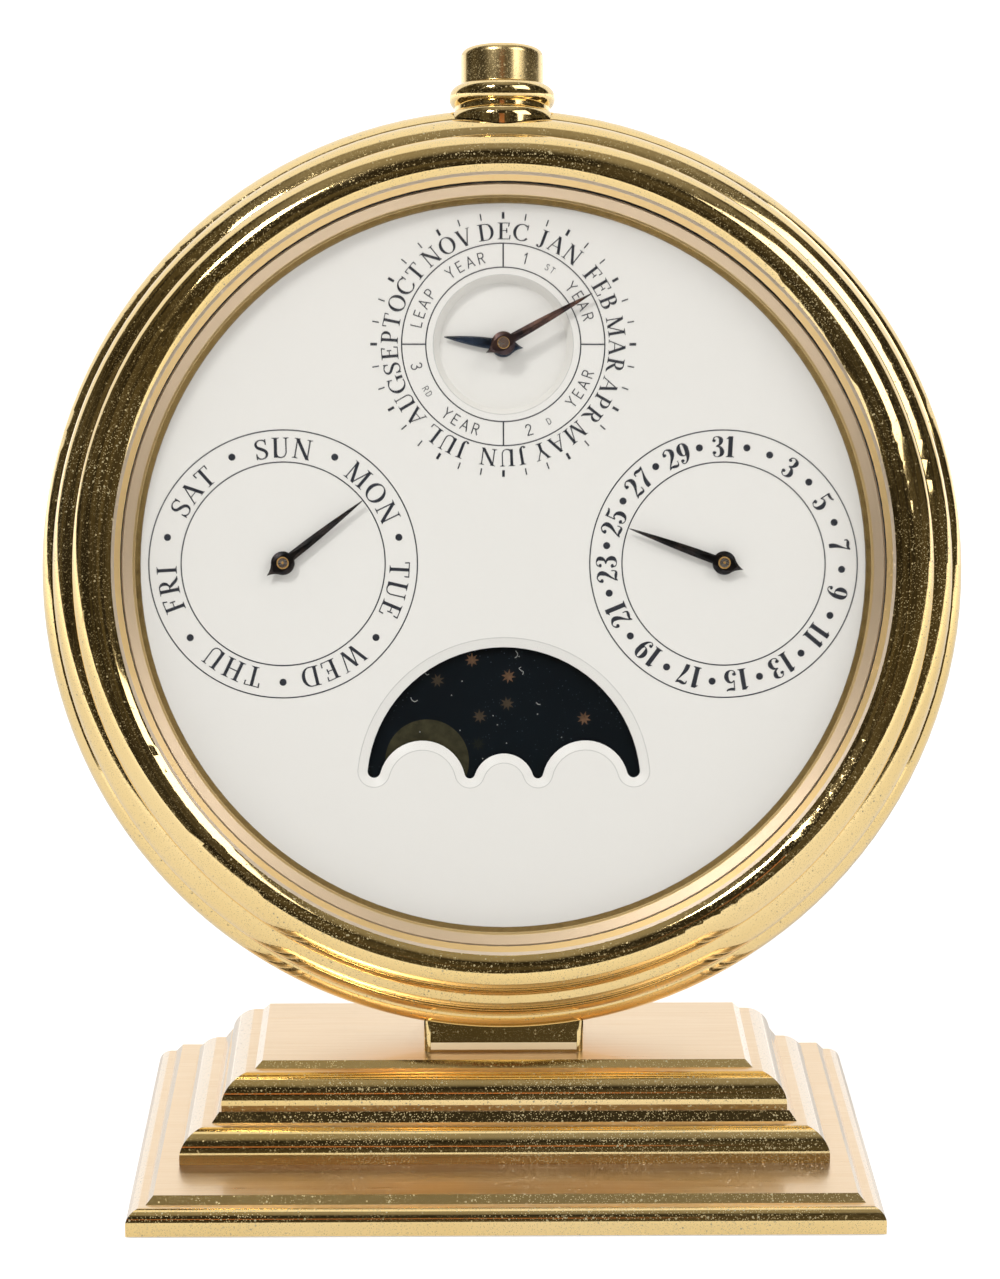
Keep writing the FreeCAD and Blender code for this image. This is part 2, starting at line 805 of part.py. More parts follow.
def bezel_outline(gap):
    """Outer points of the bezel from its rear edge up to the foot of the bead."""
    centre = "(ring_radius - ring_round)"
    return [
        ("ring_radius + %s" % gap, "case_front + ring_edge"),
        ("ring_radius + %s" % gap, "ring_level", "ring_round + %s" % gap, 1),
        ("bead_foot_radius + %s" % gap,
         "ring_level + sqrt((ring_round + %s) ^ 2 - (bead_foot_radius + %s - %s) ^ 2)" % (gap, gap, centre)),
    ]


case_turned = spin(new_body("case_turned"), [
    ("spigot_seat_radius", "case_front"),
    ("%s - case_groove" % quarter(ROUND_CENTRE, "case_round", "case_front - case_shoulder"), "case_front"),
] + case_outline("0") + [
    ("cover_seat_radius", "case_rear"),
    ("cover_seat_radius", "cover_seat"),
    ("cover_flange_radius", "cover_seat"),
    ("cover_flange_radius", "cover_seat + cover_flange_thickness"),
    ("case_bore_radius", "cover_seat + cover_flange_thickness"),
    ("case_bore_radius", "plate_seat"),
    ("plate_seat_radius", "plate_seat"),
    ("plate_seat_radius", "case_front - spigot_seat_depth"),
    ("spigot_seat_radius", "case_front - spigot_seat_depth"),
])

# Holes in the case: the button's tube at twelve o'clock, two upright ones for the stand's
# screws at the foot, and those of the plate's and the cover's screws.
tube_hole = cylinder("tube_hole", "tube_radius + seat_gap", "case_radius - case_bore_radius + 2 * overrun")
place(tube_hole, WORLD, "0", "case_bore_radius - overrun", "button_level", "-90", "1; 0; 0")
stand_top = "(%s + stand_screw_grip)" % head_seat
case_tools = [tube_hole]
for index, (across, back) in enumerate(STAND_SPOTS):
    hole = cylinder("stand_hole_%d" % (index + 1), "stand_screw_shank_radius + press_gap",
                    "stand_screw_grip / 2 + part_gap")
    start = "(%s - stand_screw_grip / 2)" % stand_top
    up = "-dial_setback * sin(case_tilt) + (%s - dial_height) * cos(case_tilt)" % start
    out = "dial_setback * cos(case_tilt) + (%s - dial_height) * sin(case_tilt)" % start
    place(hole, WORLD, across, up, out, "case_tilt - 90", "1; 0; 0")
    case_tools.append(hole)
PLATE_SPOTS = ring_of_spots("plate_screw_circle", 3, "plate_screw_bearing")
COVER_SPOTS = ring_of_spots("cover_screw_circle", 6, "0")
for index, (across, up) in enumerate(PLATE_SPOTS):
    hole = cylinder("plate_hole_%d" % (index + 1), "plate_screw_shank_radius + press_gap", "plate_screw_grip")
    case_tools.append(place(hole, WORLD, across, up, "plate_seat + overrun - plate_screw_grip"))
for index, (across, up) in enumerate(COVER_SPOTS):
    hole = cylinder("cover_hole_%d" % (index + 1), "cover_screw_shank_radius + press_gap",
                    "cover_flange_thickness + overrun - seat_gap")
    case_tools.append(place(hole, WORLD, across, up, "cover_seat - overrun"))
case_body = cut_from("case_body", case_turned, case_tools)
keep(case_body, CASE)

# Pedestal: a block under the case, hollowed on top to the case's form.
block_form = new_body("pedestal_block")
half_across, half_back = "pedestal_width / 2", "pedestal_depth / 2"
inner_across, inner_back = half_across + " - pedestal_round", half_back + " - pedestal_round"
corner = "pedestal_round"
pad(block_form, draw(new_sketch(block_form, "XY_Plane", "upper_top"), [
    ("-(%s)" % inner_across, "-(%s)" % half_back),
    (inner_across, "-(%s)" % half_back, corner, 1),
    (half_across, "-(%s)" % inner_back),
    (half_across, inner_back, corner, 1),
    (inner_across, half_back),
    ("-(%s)" % inner_across, half_back, corner, 1),
    ("-(%s)" % half_across, inner_back),
    ("-(%s)" % half_across, "-(%s)" % inner_back, corner, 1),
]), "pedestal_height")
stand_holes(block_form, "upper_top", STAND_SPOTS, "stand_screw_shank_radius + running_gap")


def outer_form(label, gap):
    """The outside of case and bezel as one solid, a gap larger, to cut a seat with."""
    rear, front, foot = bezel_outline(gap)
    return spin(new_body(label), [
        ("0", foot[1]),
        foot + (front[2], -1),
        front[:2],
        (rear[0], CASE_EDGE),
    ] + case_outline(gap) + [("0", "case_rear - %s" % gap)])


seat_form = place(outer_form("seat_form", "seat_gap"), CASE)
pedestal = cut_from("pedestal", block_form, [seat_form])
keep(pedestal, WORLD)

# Bezel: an outer ring, then a large bead, then the lip that holds the glass.
BEAD_CENTRE = "(bead_foot_radius - bead_round)"
BEAD_TOP = "(bead_level + bead_round)"
bead_inner_drop = "sqrt(bead_inner_round ^ 2 - (%s - bead_inner_radius) ^ 2)" % BEAD_CENTRE
glass_rear = "(lip_level - seat_gap - glass_thickness)"
ring_top = "(seat_gap + dial_ring_height)"
bezel = spin(new_body("bezel"), [
    ("spigot_inner_radius", "case_front - spigot_depth"),
    ("spigot_seat_radius - seat_gap", "case_front - spigot_depth"),
    ("spigot_seat_radius - seat_gap", "case_front"),
    ("ring_radius - ring_edge", "case_front"),
] + bezel_outline("0") + [
    ("bead_foot_radius", "bead_level", "bead_round", 1),
    (BEAD_CENTRE, BEAD_TOP, "bead_inner_round", 1),
    ("bead_inner_radius", "%s - bead_inner_round + %s" % (BEAD_TOP, bead_inner_drop)),
    ("lip_step_radius", "lip_step_level"),
    ("lip_radius", "lip_level + lip_thickness"),
    ("lip_radius", "lip_level"),
    ("glass_pocket_radius", "lip_level"),
    ("glass_pocket_radius", "%s + seat_gap" % ring_top),
    ("ring_pocket_radius", "%s + seat_gap" % ring_top),
    ("ring_pocket_radius", "case_front"),
    ("spigot_inner_radius", "case_front"),
])
keep(bezel, CASE)

# Glass: flat crystal behind the lip, bevelled at its front edge, on a thin gasket.
glass_radius = "(glass_pocket_radius - 3 * seat_gap)"
keep(spin(new_body("glass"), [
    ("0", glass_rear),
    (glass_radius, glass_rear),
    (glass_radius, "%s + glass_thickness - glass_edge" % glass_rear),
    ("%s - glass_edge" % glass_radius, "%s + glass_thickness" % glass_rear),
    ("0", "%s + glass_thickness" % glass_rear),
]), CASE)
keep(washer("glass_gasket", glass_radius, "gasket_radius", "%s + seat_gap" % ring_top,
            "gasket_thickness"), CASE)

# Dial ring: slopes up from the dial to a narrow bright land, then flares out under the glass.
land_end = "dial_ring_land_radius + dial_ring_land_width"
keep(spin(new_body("dial_ring"), [
    ("dial_opening_radius", "seat_gap"),
    ("ring_pocket_radius - 2 * seat_gap", "seat_gap"),
    ("ring_pocket_radius - 2 * seat_gap", ring_top),
    ("dial_ring_wall_radius", ring_top),
    (land_end, "dial_ring_land_height + seat_gap"),
    ("dial_ring_land_radius", "dial_ring_land_height"),
]), CASE)


# Moon window: a wide arc above, two large humps and a small one below, joined by round tips.
def tip_place(offset, reach, touch):
    """Centre of a tip circle that touches the arc or hump about the middle and one large hump."""
    across = "((%s ^ 2 + %s ^ 2 - %s ^ 2) / (2 * %s))" % (offset, reach, touch, offset)
    return across, "sqrt(%s ^ 2 - %s ^ 2)" % (reach, across)


def window_outline(grow):
    """The window's outline with its edge moved outward by a border."""
    outer_reach = "(aperture_radius - outer_tip_radius)"
    outer = tip_place("hump_offset", outer_reach, "(hump_radius + outer_tip_radius)")
    inner_reach = "(middle_hump_radius + inner_tip_radius)"
    inner = tip_place("hump_offset", inner_reach, "(hump_radius + inner_tip_radius)")
    hump = "(hump_radius - %s)" % grow
    stretch = "(aperture_radius + %s) / %s" % (grow, outer_reach)
    outer_touch = "%s / (hump_radius + outer_tip_radius)" % hump
    inner_touch = "%s / (hump_radius + inner_tip_radius)" % hump
    middle = "(middle_hump_radius - %s)" % grow
    middle_touch = "%s / %s" % (middle, inner_reach)
    right = [
        ("%s * %s" % (outer[0], stretch), "%s * %s" % (outer[1], stretch)),
        ("hump_offset + (%s - hump_offset) * %s" % (outer[0], outer_touch), "%s * %s" % (outer[1], outer_touch)),
        ("hump_offset + (%s - hump_offset) * %s" % (inner[0], inner_touch), "%s * %s" % (inner[1], inner_touch)),
        ("%s * %s" % (inner[0], middle_touch), "%s * %s" % (inner[1], middle_touch)),
    ]
    rounds = [("outer_tip_radius + %s" % grow, 1), (hump, -1), ("inner_tip_radius + %s" % grow, 1), (middle, -1)]
    level = "%s - subdial_offset"
    points = []
    for (across, up), arc in zip(right, rounds):
        points.append(("-(%s)" % across, level % up) + arc)
    backward = [rounds[2], rounds[1], rounds[0], ("aperture_radius + %s" % grow, 1)]
    for (across, up), arc in zip(reversed(right), backward):
        points.append((across, level % up) + arc)
    return points


# Dial: a disc with the moon window, the recess of the leap hand and holes for two arbors.
recess_slope = "((recess_radius - recess_floor_radius) / recess_depth)"
dial_blank = new_body("dial_blank")
dial_sketch = draw_circle(new_sketch(dial_blank, "XY_Plane", "-dial_thickness"), "0", "0", "dial_radius")
for side in ("subdial_offset", "-subdial_offset"):
    draw_circle(dial_sketch, side, "0", "dial_hole_radius")
pad(dial_blank, dial_sketch, "dial_thickness")
pocket(dial_blank, draw(new_sketch(dial_blank, "XY_Plane"), window_outline("0")))
doc.recompute()
before_bevel = dial_blank.Shape.Volume
bevel = dial_blank.newObject("PartDesign::SubtractiveLoft", "window_bevel")
bevel_low = draw(new_sketch(dial_blank, "XY_Plane", "-aperture_bevel_depth"), window_outline("0"))
bevel_high = draw(new_sketch(dial_blank, "XY_Plane"), window_outline("aperture_border"))
bevel.Profile = bevel_low
bevel.Sections = [bevel_high]
bevel.Ruled = True
doc.recompute()
if not dial_blank.Shape.Volume < before_bevel:
    raise RuntimeError("the window's bevel cut nothing")
dial_rear_radius = "recess_radius - %s * dial_thickness" % recess_slope
recess_cutter = spin(new_body("recess_cutter"), [
    ("0", "-dial_thickness - overrun"),
    (dial_rear_radius, "-dial_thickness - overrun"),
    (dial_rear_radius, "-dial_thickness"),
    ("recess_radius", "0"),
    ("recess_radius", "overrun"),
    ("0", "overrun"),
])
place(recess_cutter, WORLD, "0", "subdial_offset", "0")
keep(cut_from("dial", dial_blank, [recess_cutter]), CASE)

# Year disc: the dished floor of the recess, fixed behind the dial.
keep(spin(new_body("year_disc"), [
    ("pipe_radius + 2 * running_gap", "-recess_depth - year_disc_floor"),
    ("year_disc_radius", "-recess_depth - year_disc_floor"),
    ("year_disc_radius", "-dial_thickness - seat_gap"),
    (dial_rear_radius, "-dial_thickness - seat_gap"),
    ("recess_floor_radius", "-recess_depth"),
    ("pipe_radius + 2 * running_gap", "-recess_depth"),
]), CASE, up="subdial_offset")

# Dial posts: three pins behind the dial, held in the main plate.
POST_SPOTS = ring_of_spots("post_circle", 3, "post_bearing")
posts = [place(cylinder("post_%d" % (index + 1), "post_radius", "post_length"), WORLD, across, up,
               "-dial_thickness - press_gap - post_length")
         for index, (across, up) in enumerate(POST_SPOTS)]
keep(group("dial_posts", posts), CASE)

# Main plate and back bridge, with a hole for everything that passes or turns in them.
MONTH = ("0", "subdial_offset")
DAY = ("-subdial_offset", "0")
DATE = ("subdial_offset", "0")
MOON = ("0", "-subdial_offset")
gear_distance = "(gear_module * (pinion_teeth + gear_teeth) / 2)"
REDUCTION = ("%s * cos(reduction_bearing)" % gear_distance,
             "subdial_offset + %s * sin(reduction_bearing)" % gear_distance)
beak_reach = "(cam_radius + lever_gap)"
BEAK = ("%s * cos(lever_beak_angle)" % beak_reach, "(subdial_offset + %s * sin(lever_beak_angle))" % beak_reach)
LEVER = ("(%s - lever_arm * sin(lever_beak_angle))" % BEAK[0], "(%s + lever_arm * cos(lever_beak_angle))" % BEAK[1])
PILLAR_SPOTS = ring_of_spots("pillar_circle", 4, "pillar_bearing")
plate_front = "(plate_seat + main_plate_thickness)"


JUMPERS = {
    "day_jumper": (DAY, "day_star_radius", "day_star_root_radius", "jumper_bearing"),
    "date_jumper": (DATE, "date_wheel_radius", "date_wheel_root_radius", "jumper_bearing"),
    "month_jumper": (MONTH, "month_star_radius", "month_star_root_radius", "month_jumper_bearing"),
    "moon_jumper": (MOON, "moon_wheel_radius", "moon_wheel_root_radius", "jumper_bearing"),
}


def jumper_screw_spot(centre, radius, bearing):
    """Where the screw of a jumper's foot stands, from the wheel's size and the blade's length."""
    outward = "(%s + jumper_clear + jumper_foot_width / 2)" % radius
    along = "(jumper_length + jumper_foot_length / 2)"
    across = "%s + %s * cos(%s) - %s * sin(%s)" % (centre[0], outward, bearing, along, bearing)
    up = "%s + %s * sin(%s) + %s * cos(%s)" % (centre[1], outward, bearing, along, bearing)
    return across, up


JUMPER_SPOTS = [jumper_screw_spot(centre, radius, bearing) for centre, radius, root, bearing in JUMPERS.values()]

main_plate = new_body("main_plate")
sketch = draw_circle(new_sketch(main_plate, "XY_Plane", "plate_seat"), "0", "0", "main_plate_radius")
for spot in (DAY, DATE, MOON):
    draw_circle(sketch, *spot, "arbor_radius + running_gap")
draw_circle(sketch, *MONTH, "pipe_radius + running_gap")
draw_circle(sketch, *REDUCTION, "pivot_radius + running_gap")
draw_circle(sketch, *LEVER, "lever_stud_radius + press_gap")
for spots, radius in ((PILLAR_SPOTS, "pillar_tenon_radius + press_gap"), (POST_SPOTS, "post_radius + press_gap"),
                      (PLATE_SPOTS, "plate_screw_shank_radius + running_gap"),
                      (JUMPER_SPOTS, "jumper_screw_radius + press_gap")):
    for spot in spots:
        draw_circle(sketch, *spot, radius)
pad(main_plate, sketch, "main_plate_thickness")
notch = draw(new_sketch(main_plate, "XY_Plane", plate_front), [
    ("-notch_half_width", "tube_inner_end - overrun"),
    ("notch_half_width", "tube_inner_end - overrun"),
    ("notch_half_width", "main_plate_radius + overrun"),
    ("-notch_half_width", "main_plate_radius + overrun"),
])
pocket(main_plate, notch)
keep(main_plate, CASE)
screws("movement_screws", "plate_screw", PLATE_SPOTS, CASE, plate_front)

bridge_rear = "(bridge_front - bridge_thickness)"
slide_rear = "(slide_front - slide_thickness)"
GUIDE_SPOTS = [("0", "upper_guide_up"), ("0", "-lower_guide_down"),
               ("spring_foot_across", "-spring_foot_down")]
back_bridge = new_body("back_bridge")
sketch = draw_circle(new_sketch(back_bridge, "XY_Plane", bridge_rear), "0", "0", "bridge_radius")
for spot in (DAY, DATE, MONTH, MOON, REDUCTION):
    draw_circle(sketch, *spot, "pivot_radius + running_gap")
for spots, radius in ((PILLAR_SPOTS, "bridge_screw_shank_radius + running_gap"),
                      (GUIDE_SPOTS, "guide_tenon_radius + press_gap")):
    for spot in spots:
        draw_circle(sketch, *spot, radius)
pad(back_bridge, sketch, "bridge_thickness")
keep(back_bridge, CASE)

pillars = []
for index, (across, up) in enumerate(PILLAR_SPOTS):
    column = cylinder("column_%d" % (index + 1), "pillar_radius", "plate_seat - bridge_front", "bridge_front")
    tenon = cylinder("tenon_%d" % (index + 1), "pillar_tenon_radius", "main_plate_thickness", "plate_seat")
    thread = cylinder("thread_%d" % (index + 1), "bridge_screw_shank_radius + press_gap",
                      "bridge_screw_grip", "bridge_front")
    pillar = cut_from("pillar_%d" % (index + 1), fused("pillar_blank_%d" % (index + 1), [column, tenon]), [thread])
    pillars.append(place(pillar, WORLD, across, up))
keep(group("pillars", pillars), CASE)
screws("bridge_screws", "bridge_screw", PILLAR_SPOTS, CASE, bridge_rear, "180")

# Back cover, its field sunk a little inside a plain rim, and its screws.
cover_rear = "(cover_seat - cover_thickness)"
back_cover = new_body("back_cover")
sketch = draw_circle(new_sketch(back_cover, "XY_Plane", cover_rear), "0", "0", "cover_radius")
for spot in COVER_SPOTS:
    draw_circle(sketch, *spot, "cover_screw_shank_radius + running_gap")
pad(back_cover, sketch, "cover_thickness")
field = draw_circle(new_sketch(back_cover, "XY_Plane", cover_rear), "0", "0", "cover_radius - cover_rim_width")
pocket(back_cover, field, "cover_sink", upward=True)
keep(back_cover, CASE)
screws("back_cover_screws", "cover_screw", COVER_SPOTS, CASE, cover_rear, "180")

# Push-button: collar, tube, cap, stem, spring and clip, all about the same axis.
bead_low = "sqrt(collar_bead_radius ^ 2 - (collar_neck_radius - collar_bead_centre) ^ 2)"
bead_level = "(collar_top - collar_bead_radius)"
foot_rise = "sqrt(collar_foot_radius ^ 2 - (collar_neck_radius - collar_foot_centre) ^ 2)"
collar_turned = spin(new_body("collar_turned"), [
    ("tube_radius + seat_gap", "collar_root"),
    ("collar_foot_centre + collar_foot_radius", "collar_root"),
    ("collar_foot_centre + collar_foot_radius", "collar_foot_level", "collar_foot_radius", 1),
    ("collar_neck_radius", "collar_foot_level + %s" % foot_rise),
    ("collar_neck_radius", "%s - %s" % (bead_level, bead_low), "collar_bead_radius", 1),
    ("collar_bead_centre + collar_bead_radius", bead_level, "collar_bead_radius", 1),
    ("collar_bore_radius", "%s + sqrt(collar_bead_radius ^ 2 - (collar_bore_radius - collar_bead_centre) ^ 2)"
     % bead_level),
    ("collar_bore_radius", "collar_floor"),
    ("tube_radius + seat_gap", "collar_floor"),
])
place(collar_turned, WORLD, "0", "0", "button_level", "-90", "1; 0; 0")
collar_form = outer_form("collar_form", "2 * seat_gap")
keep(cut_from("crown_collar", collar_turned, [collar_form]), CASE)

stem_bore = "stem_radius + running_gap"
keep(on_button(spin(new_body("pusher_tube"), [
    (stem_bore, "tube_inner_end"),
    ("tube_radius", "tube_inner_end"),
    ("tube_radius", "collar_floor + seat_gap"),
    ("tube_head_radius", "collar_floor + seat_gap"),
    ("tube_head_radius", "collar_floor + seat_gap + tube_head_height"),
    (stem_bore, "collar_floor + seat_gap + tube_head_height"),
])))

stem_top = "(button_shoulder - button_stem_hole)"
groove_inner = "(button_groove_radius - button_groove)"
keep(on_button(spin(new_body("button_cap"), [
    ("stem_radius + press_gap", "button_ceiling"),
    ("button_bore_radius", "button_ceiling"),
    ("button_bore_radius", "button_foot"),
    ("button_radius", "button_foot"),
    ("button_radius", "button_shoulder - button_round", "button_round", 1),
    ("button_radius - button_round", "button_shoulder"),
    ("button_radius - button_round", "button_shoulder - button_groove"),
    (groove_inner, "button_shoulder - button_groove"),
    (groove_inner, "button_shoulder", "(%s ^ 2 + button_dome ^ 2) / (2 * button_dome)" % groove_inner, 1),
    ("0", "button_shoulder + button_dome"),
    ("0", stem_top + " + seat_gap"),
    ("stem_radius + press_gap", stem_top + " + seat_gap"),
])))

keep(on_button(spin(new_body("button_stem"), [
    ("0", "stem_foot"),
    ("stem_radius", "stem_foot"),
    ("stem_radius", stem_top),
    ("0", stem_top),
])))
keep(on_button(washer("stem_clip", "clip_radius", "stem_radius + press_gap",
                      "tube_inner_end - part_gap / 2 - clip_thickness", "clip_thickness")))

button_spring = new_body("button_spring")
spring_low = "(collar_floor + seat_gap + spring_wire_radius)"
spring_rise = "(button_ceiling - seat_gap - spring_wire_radius - %s)" % spring_low
wire = draw_circle(new_sketch(button_spring, "XZ_Plane"), "spring_radius", spring_low, "spring_wire_radius")
coil = button_spring.newObject("PartDesign::AdditiveHelix", "coil")
coil.Profile = wire
coil.ReferenceAxis = (wire, ["V_Axis"])
coil.Mode = 0
coil.setExpression("Pitch", bound(spring_rise + " / spring_turns"))
coil.setExpression("Height", bound(spring_rise))
keep(on_button(button_spring))


# Calendar slide: a T-shaped plate on two guides, pushed down by the stem, with a pawl for each
# wheel that it steps.
def slot(spot, rise="button_travel"):
    """Outline of a square slot in the slide, long enough for its travel."""
    across, up = spot
    left, right = ("%s %s slide_slot_half_width" % (across, sign) for sign in "-+")
    low, high = up + " - slide_slot_half_width", up + " + %s + slide_slot_half_width" % rise
    return [(left, low), (right, low), (right, high), (left, high)]


pawl_stand = "part_gap + pawl_offset"
arm_right = "subdial_offset + date_wheel_radius + %s + pawl_foot_width" % pawl_stand
arm_left = "day_star_radius - subdial_offset + " + pawl_stand
foot_right = "moon_wheel_radius + %s + pawl_foot_width" % pawl_stand
slide_top = "stem_foot - 2 * seat_gap"
foot_low = "-slide_foot - slide_foot_height"
calendar_slide = new_body("calendar_slide")
slide_sketch = draw(new_sketch(calendar_slide, "XY_Plane", slide_rear), [
    ("-slide_half_width", foot_low),
    (foot_right, foot_low),
    (foot_right, "-slide_foot"),
    ("slide_half_width", "-slide_foot"),
    ("slide_half_width", "-arm_low"),
    (arm_right, "-arm_low"),
    (arm_right, "arm_high"),
    ("slide_half_width", "arm_high"),
    ("slide_half_width", slide_top),
    ("-slide_half_width", slide_top),
    ("-slide_half_width", "arm_high"),
    (arm_left, "arm_high"),
    (arm_left, "-arm_low"),
    ("-slide_half_width", "-arm_low"),
])
for spot in GUIDE_SPOTS[:2] + [MONTH, DATE]:
    draw(slide_sketch, slot(spot))
pad(calendar_slide, slide_sketch, "slide_thickness")
pad(calendar_slide, draw(new_sketch(calendar_slide, "XY_Plane", "slide_front - slide_thickness / 2"), [
    ("-slide_tab_half_width", slide_top + " - slide_tab_height"),
    ("slide_tab_half_width", slide_top + " - slide_tab_height"),
    ("slide_tab_half_width", slide_top),
    ("-slide_tab_half_width", slide_top),
]), "slide_tab_rise + slide_thickness / 2")
keep(calendar_slide, CASE)

studs = []
for index, (across, up) in enumerate(GUIDE_SPOTS):
    stud = spin(new_body("guide_%d" % (index + 1)), [
        ("0", "bridge_front - bridge_thickness / 2"),
        ("guide_tenon_radius", "bridge_front - bridge_thickness / 2"),
        ("guide_tenon_radius", "bridge_front + press_gap"),
        ("guide_head_radius", "bridge_front + press_gap"),
        ("guide_head_radius", slide_rear + " - seat_gap"),
        ("guide_radius", slide_rear + " - seat_gap"),
        ("guide_radius", "slide_front + 2 * seat_gap"),
        ("guide_head_radius", "slide_front + 2 * seat_gap"),
        ("guide_head_radius", "slide_front + 2 * seat_gap + guide_head_height"),
        ("0", "slide_front + 2 * seat_gap + guide_head_height"),
    ])
    studs.append(place(stud, WORLD, across, up))
keep(group("slide_guides", studs), CASE)

# The leaf spring under the slide's foot, held by the third guide.
leaf_top = foot_low + " - seat_gap"
slide_spring = new_body("slide_spring")
spring_sketch = draw(new_sketch(slide_spring, "XY_Plane", slide_rear), [
    ("-slide_half_width", leaf_top + " - spring_leaf"),
    ("spring_foot_across - spring_foot_half", leaf_top + " - spring_leaf"),
    ("spring_foot_across - spring_foot_half", "-spring_foot_down - spring_foot_half"),
    ("spring_foot_across + spring_foot_half", "-spring_foot_down - spring_foot_half"),
    ("spring_foot_across + spring_foot_half", leaf_top),
    ("-slide_half_width", leaf_top),
])
draw_circle(spring_sketch, "spring_foot_across", "-spring_foot_down", "guide_radius + press_gap")
pad(slide_spring, spring_sketch, "slide_thickness")
keep(slide_spring, CASE)

PAWLS = {
    "day_pawl": (DAY, "day_star_radius", "0", "0"),
    "date_pawl": (DATE, "date_wheel_radius", "0", "0"),
    "moon_pawl": (MOON, "moon_wheel_radius", "subdial_offset - slide_foot - slide_foot_height / 2", "180"),
}
for label, (centre, radius, lift, turn) in PAWLS.items():
    pawl = new_body(label)
    shoulder = "pawl_offset + pawl_blade_width"
    pad(pawl, draw(new_sketch(pawl, "XY_Plane"), [
        ("pawl_offset", "-pawl_foot_height / 2"),
        ("pawl_offset + pawl_foot_width", "-pawl_foot_height / 2"),
        ("pawl_offset + pawl_foot_width", "pawl_foot_height / 2"),
        (shoulder, "pawl_foot_height / 2"),
        (shoulder, "pawl_reach"),
        ("0", "pawl_reach"),
        ("0", "pawl_reach - pawl_blade_width"),
        ("pawl_offset", "pawl_reach - 2 * pawl_blade_width"),
    ]), "pawl_thickness")
    level = "slide_front + seat_gap" + (" + pawl_thickness" if turn != "0" else "")
    keep(pawl, CASE, across="%s + %s + part_gap" % (centre[0], radius), up="%s + %s" % (centre[1], lift),
         out=level, turn=turn, axis="1; 0; 0")


# Wheels, stars and gears: a disc with one gap cut between two teeth and repeated round it.
def polar(radius, angle):
    return "(%s) * cos(%s)" % (radius, angle), "(%s) * sin(%s)" % (radius, angle)


def cut_teeth(body, outer, root, teeth, mouth_share, root_share, level, depth=None):
    """Cut tooth gaps into a body's rim, leaving a tooth on the X axis."""
    middle = "180 / %s" % teeth
    mouth, foot = "%s * %s" % (middle, mouth_share), "%s * %s" % (middle, root_share)
    reach = "(%s + press_gap) / cos(%s)" % (outer, mouth)
    gap = draw(new_sketch(body, "XY_Plane", level), [
        polar(root, "%s - %s" % (middle, foot)),
        polar(reach, "%s - %s" % (middle, mouth)),
        polar(reach, "%s + %s" % (middle, mouth)),
        polar(root, "%s + %s" % (middle, foot)),
    ])
    return repeat(body, [pocket(body, gap, depth)], teeth)


def toothed(label, outer, root, teeth, mouth_share, root_share, bore, thickness, low):
    body = new_body(label)
    blank = draw_circle(new_sketch(body, "XY_Plane", low), "0", "0", outer)
    draw_circle(blank, "0", "0", bore)
    pad(body, blank, thickness)
    cut_teeth(body, outer, root, teeth, mouth_share, root_share, low)
    return body


wheel_low = "(wheel_front - wheel_thickness)"
arbor_bore = "arbor_radius + press_gap"
WHEELS = {
    "day_star": (DAY, "day_star_radius", "day_star_root_radius", "day_teeth", "star_gap_share"),
    "date_wheel": (DATE, "date_wheel_radius", "date_wheel_root_radius", "date_teeth", "wheel_gap_share"),
    "month_star": (MONTH, "month_star_radius", "month_star_root_radius", "month_teeth", "star_gap_share"),
    "moon_wheel": (MOON, "moon_wheel_radius", "moon_wheel_root_radius", "moon_teeth", "wheel_gap_share"),
}
for label, (centre, outer, root, teeth, mouth_share) in WHEELS.items():
    wheel = toothed(label, outer, root, teeth, mouth_share, "gap_root_share", arbor_bore,
                    "wheel_thickness", wheel_low)
    keep(wheel, CASE, across=centre[0], up=centre[1])


def arbor(label, top):
    """A turned arbor: a pivot in the bridge, then one thickness up to its end."""
    return spin(new_body(label), [
        ("0", "bridge_front - pivot_length"),
        ("pivot_radius", "bridge_front - pivot_length"),
        ("pivot_radius", "bridge_front + seat_gap"),
        ("arbor_radius", "bridge_front + seat_gap"),
        ("arbor_radius", top),
        ("0", top),
    ])


keep(arbor("day_arbor", "arbor_top"), CASE, across=DAY[0])
keep(arbor("date_arbor", "arbor_top"), CASE, across=DATE[0])
keep(arbor("moon_arbor", "moon_disc_level + moon_disc_thickness + seat_gap"), CASE, up=MOON[1])


def gear_outer(teeth):
    return "(gear_module * (%s / 2 + addendum_share))" % teeth


def gear_root(teeth):
    return "(gear_module * (%s / 2 - dedendum_share))" % teeth


def cut_gear(body, teeth, level, depth=None):
    return cut_teeth(body, gear_outer(teeth), gear_root(teeth), teeth, "gear_gap_share", "gear_root_share",
                     level, depth)


# Leap-year train: the month arbor's pinion drives a reduction wheel, whose pinion drives the
# leap wheel on a pipe round the month arbor, four times slower.
pinion_radius = gear_outer("pinion_teeth")
month_pinion_low = "(reduction_level - seat_gap)"
month_pinion_top = "%s + pinion_thickness" % month_pinion_low
month_arbor = spin(new_body("month_arbor"), [
    ("0", "bridge_front - pivot_length"),
    ("pivot_radius", "bridge_front - pivot_length"),
    ("pivot_radius", "bridge_front + seat_gap"),
    ("arbor_radius", "bridge_front + seat_gap"),
    ("arbor_radius", month_pinion_low),
    (pinion_radius, month_pinion_low),
    (pinion_radius, month_pinion_top),
    ("arbor_radius", month_pinion_top),
    ("arbor_radius", "month_arbor_top"),
    ("0", "month_arbor_top"),
])
cut_gear(month_arbor, "pinion_teeth", month_pinion_top, "pinion_thickness")
keep(month_arbor, CASE, up=MONTH[1], turn="reduction_bearing")

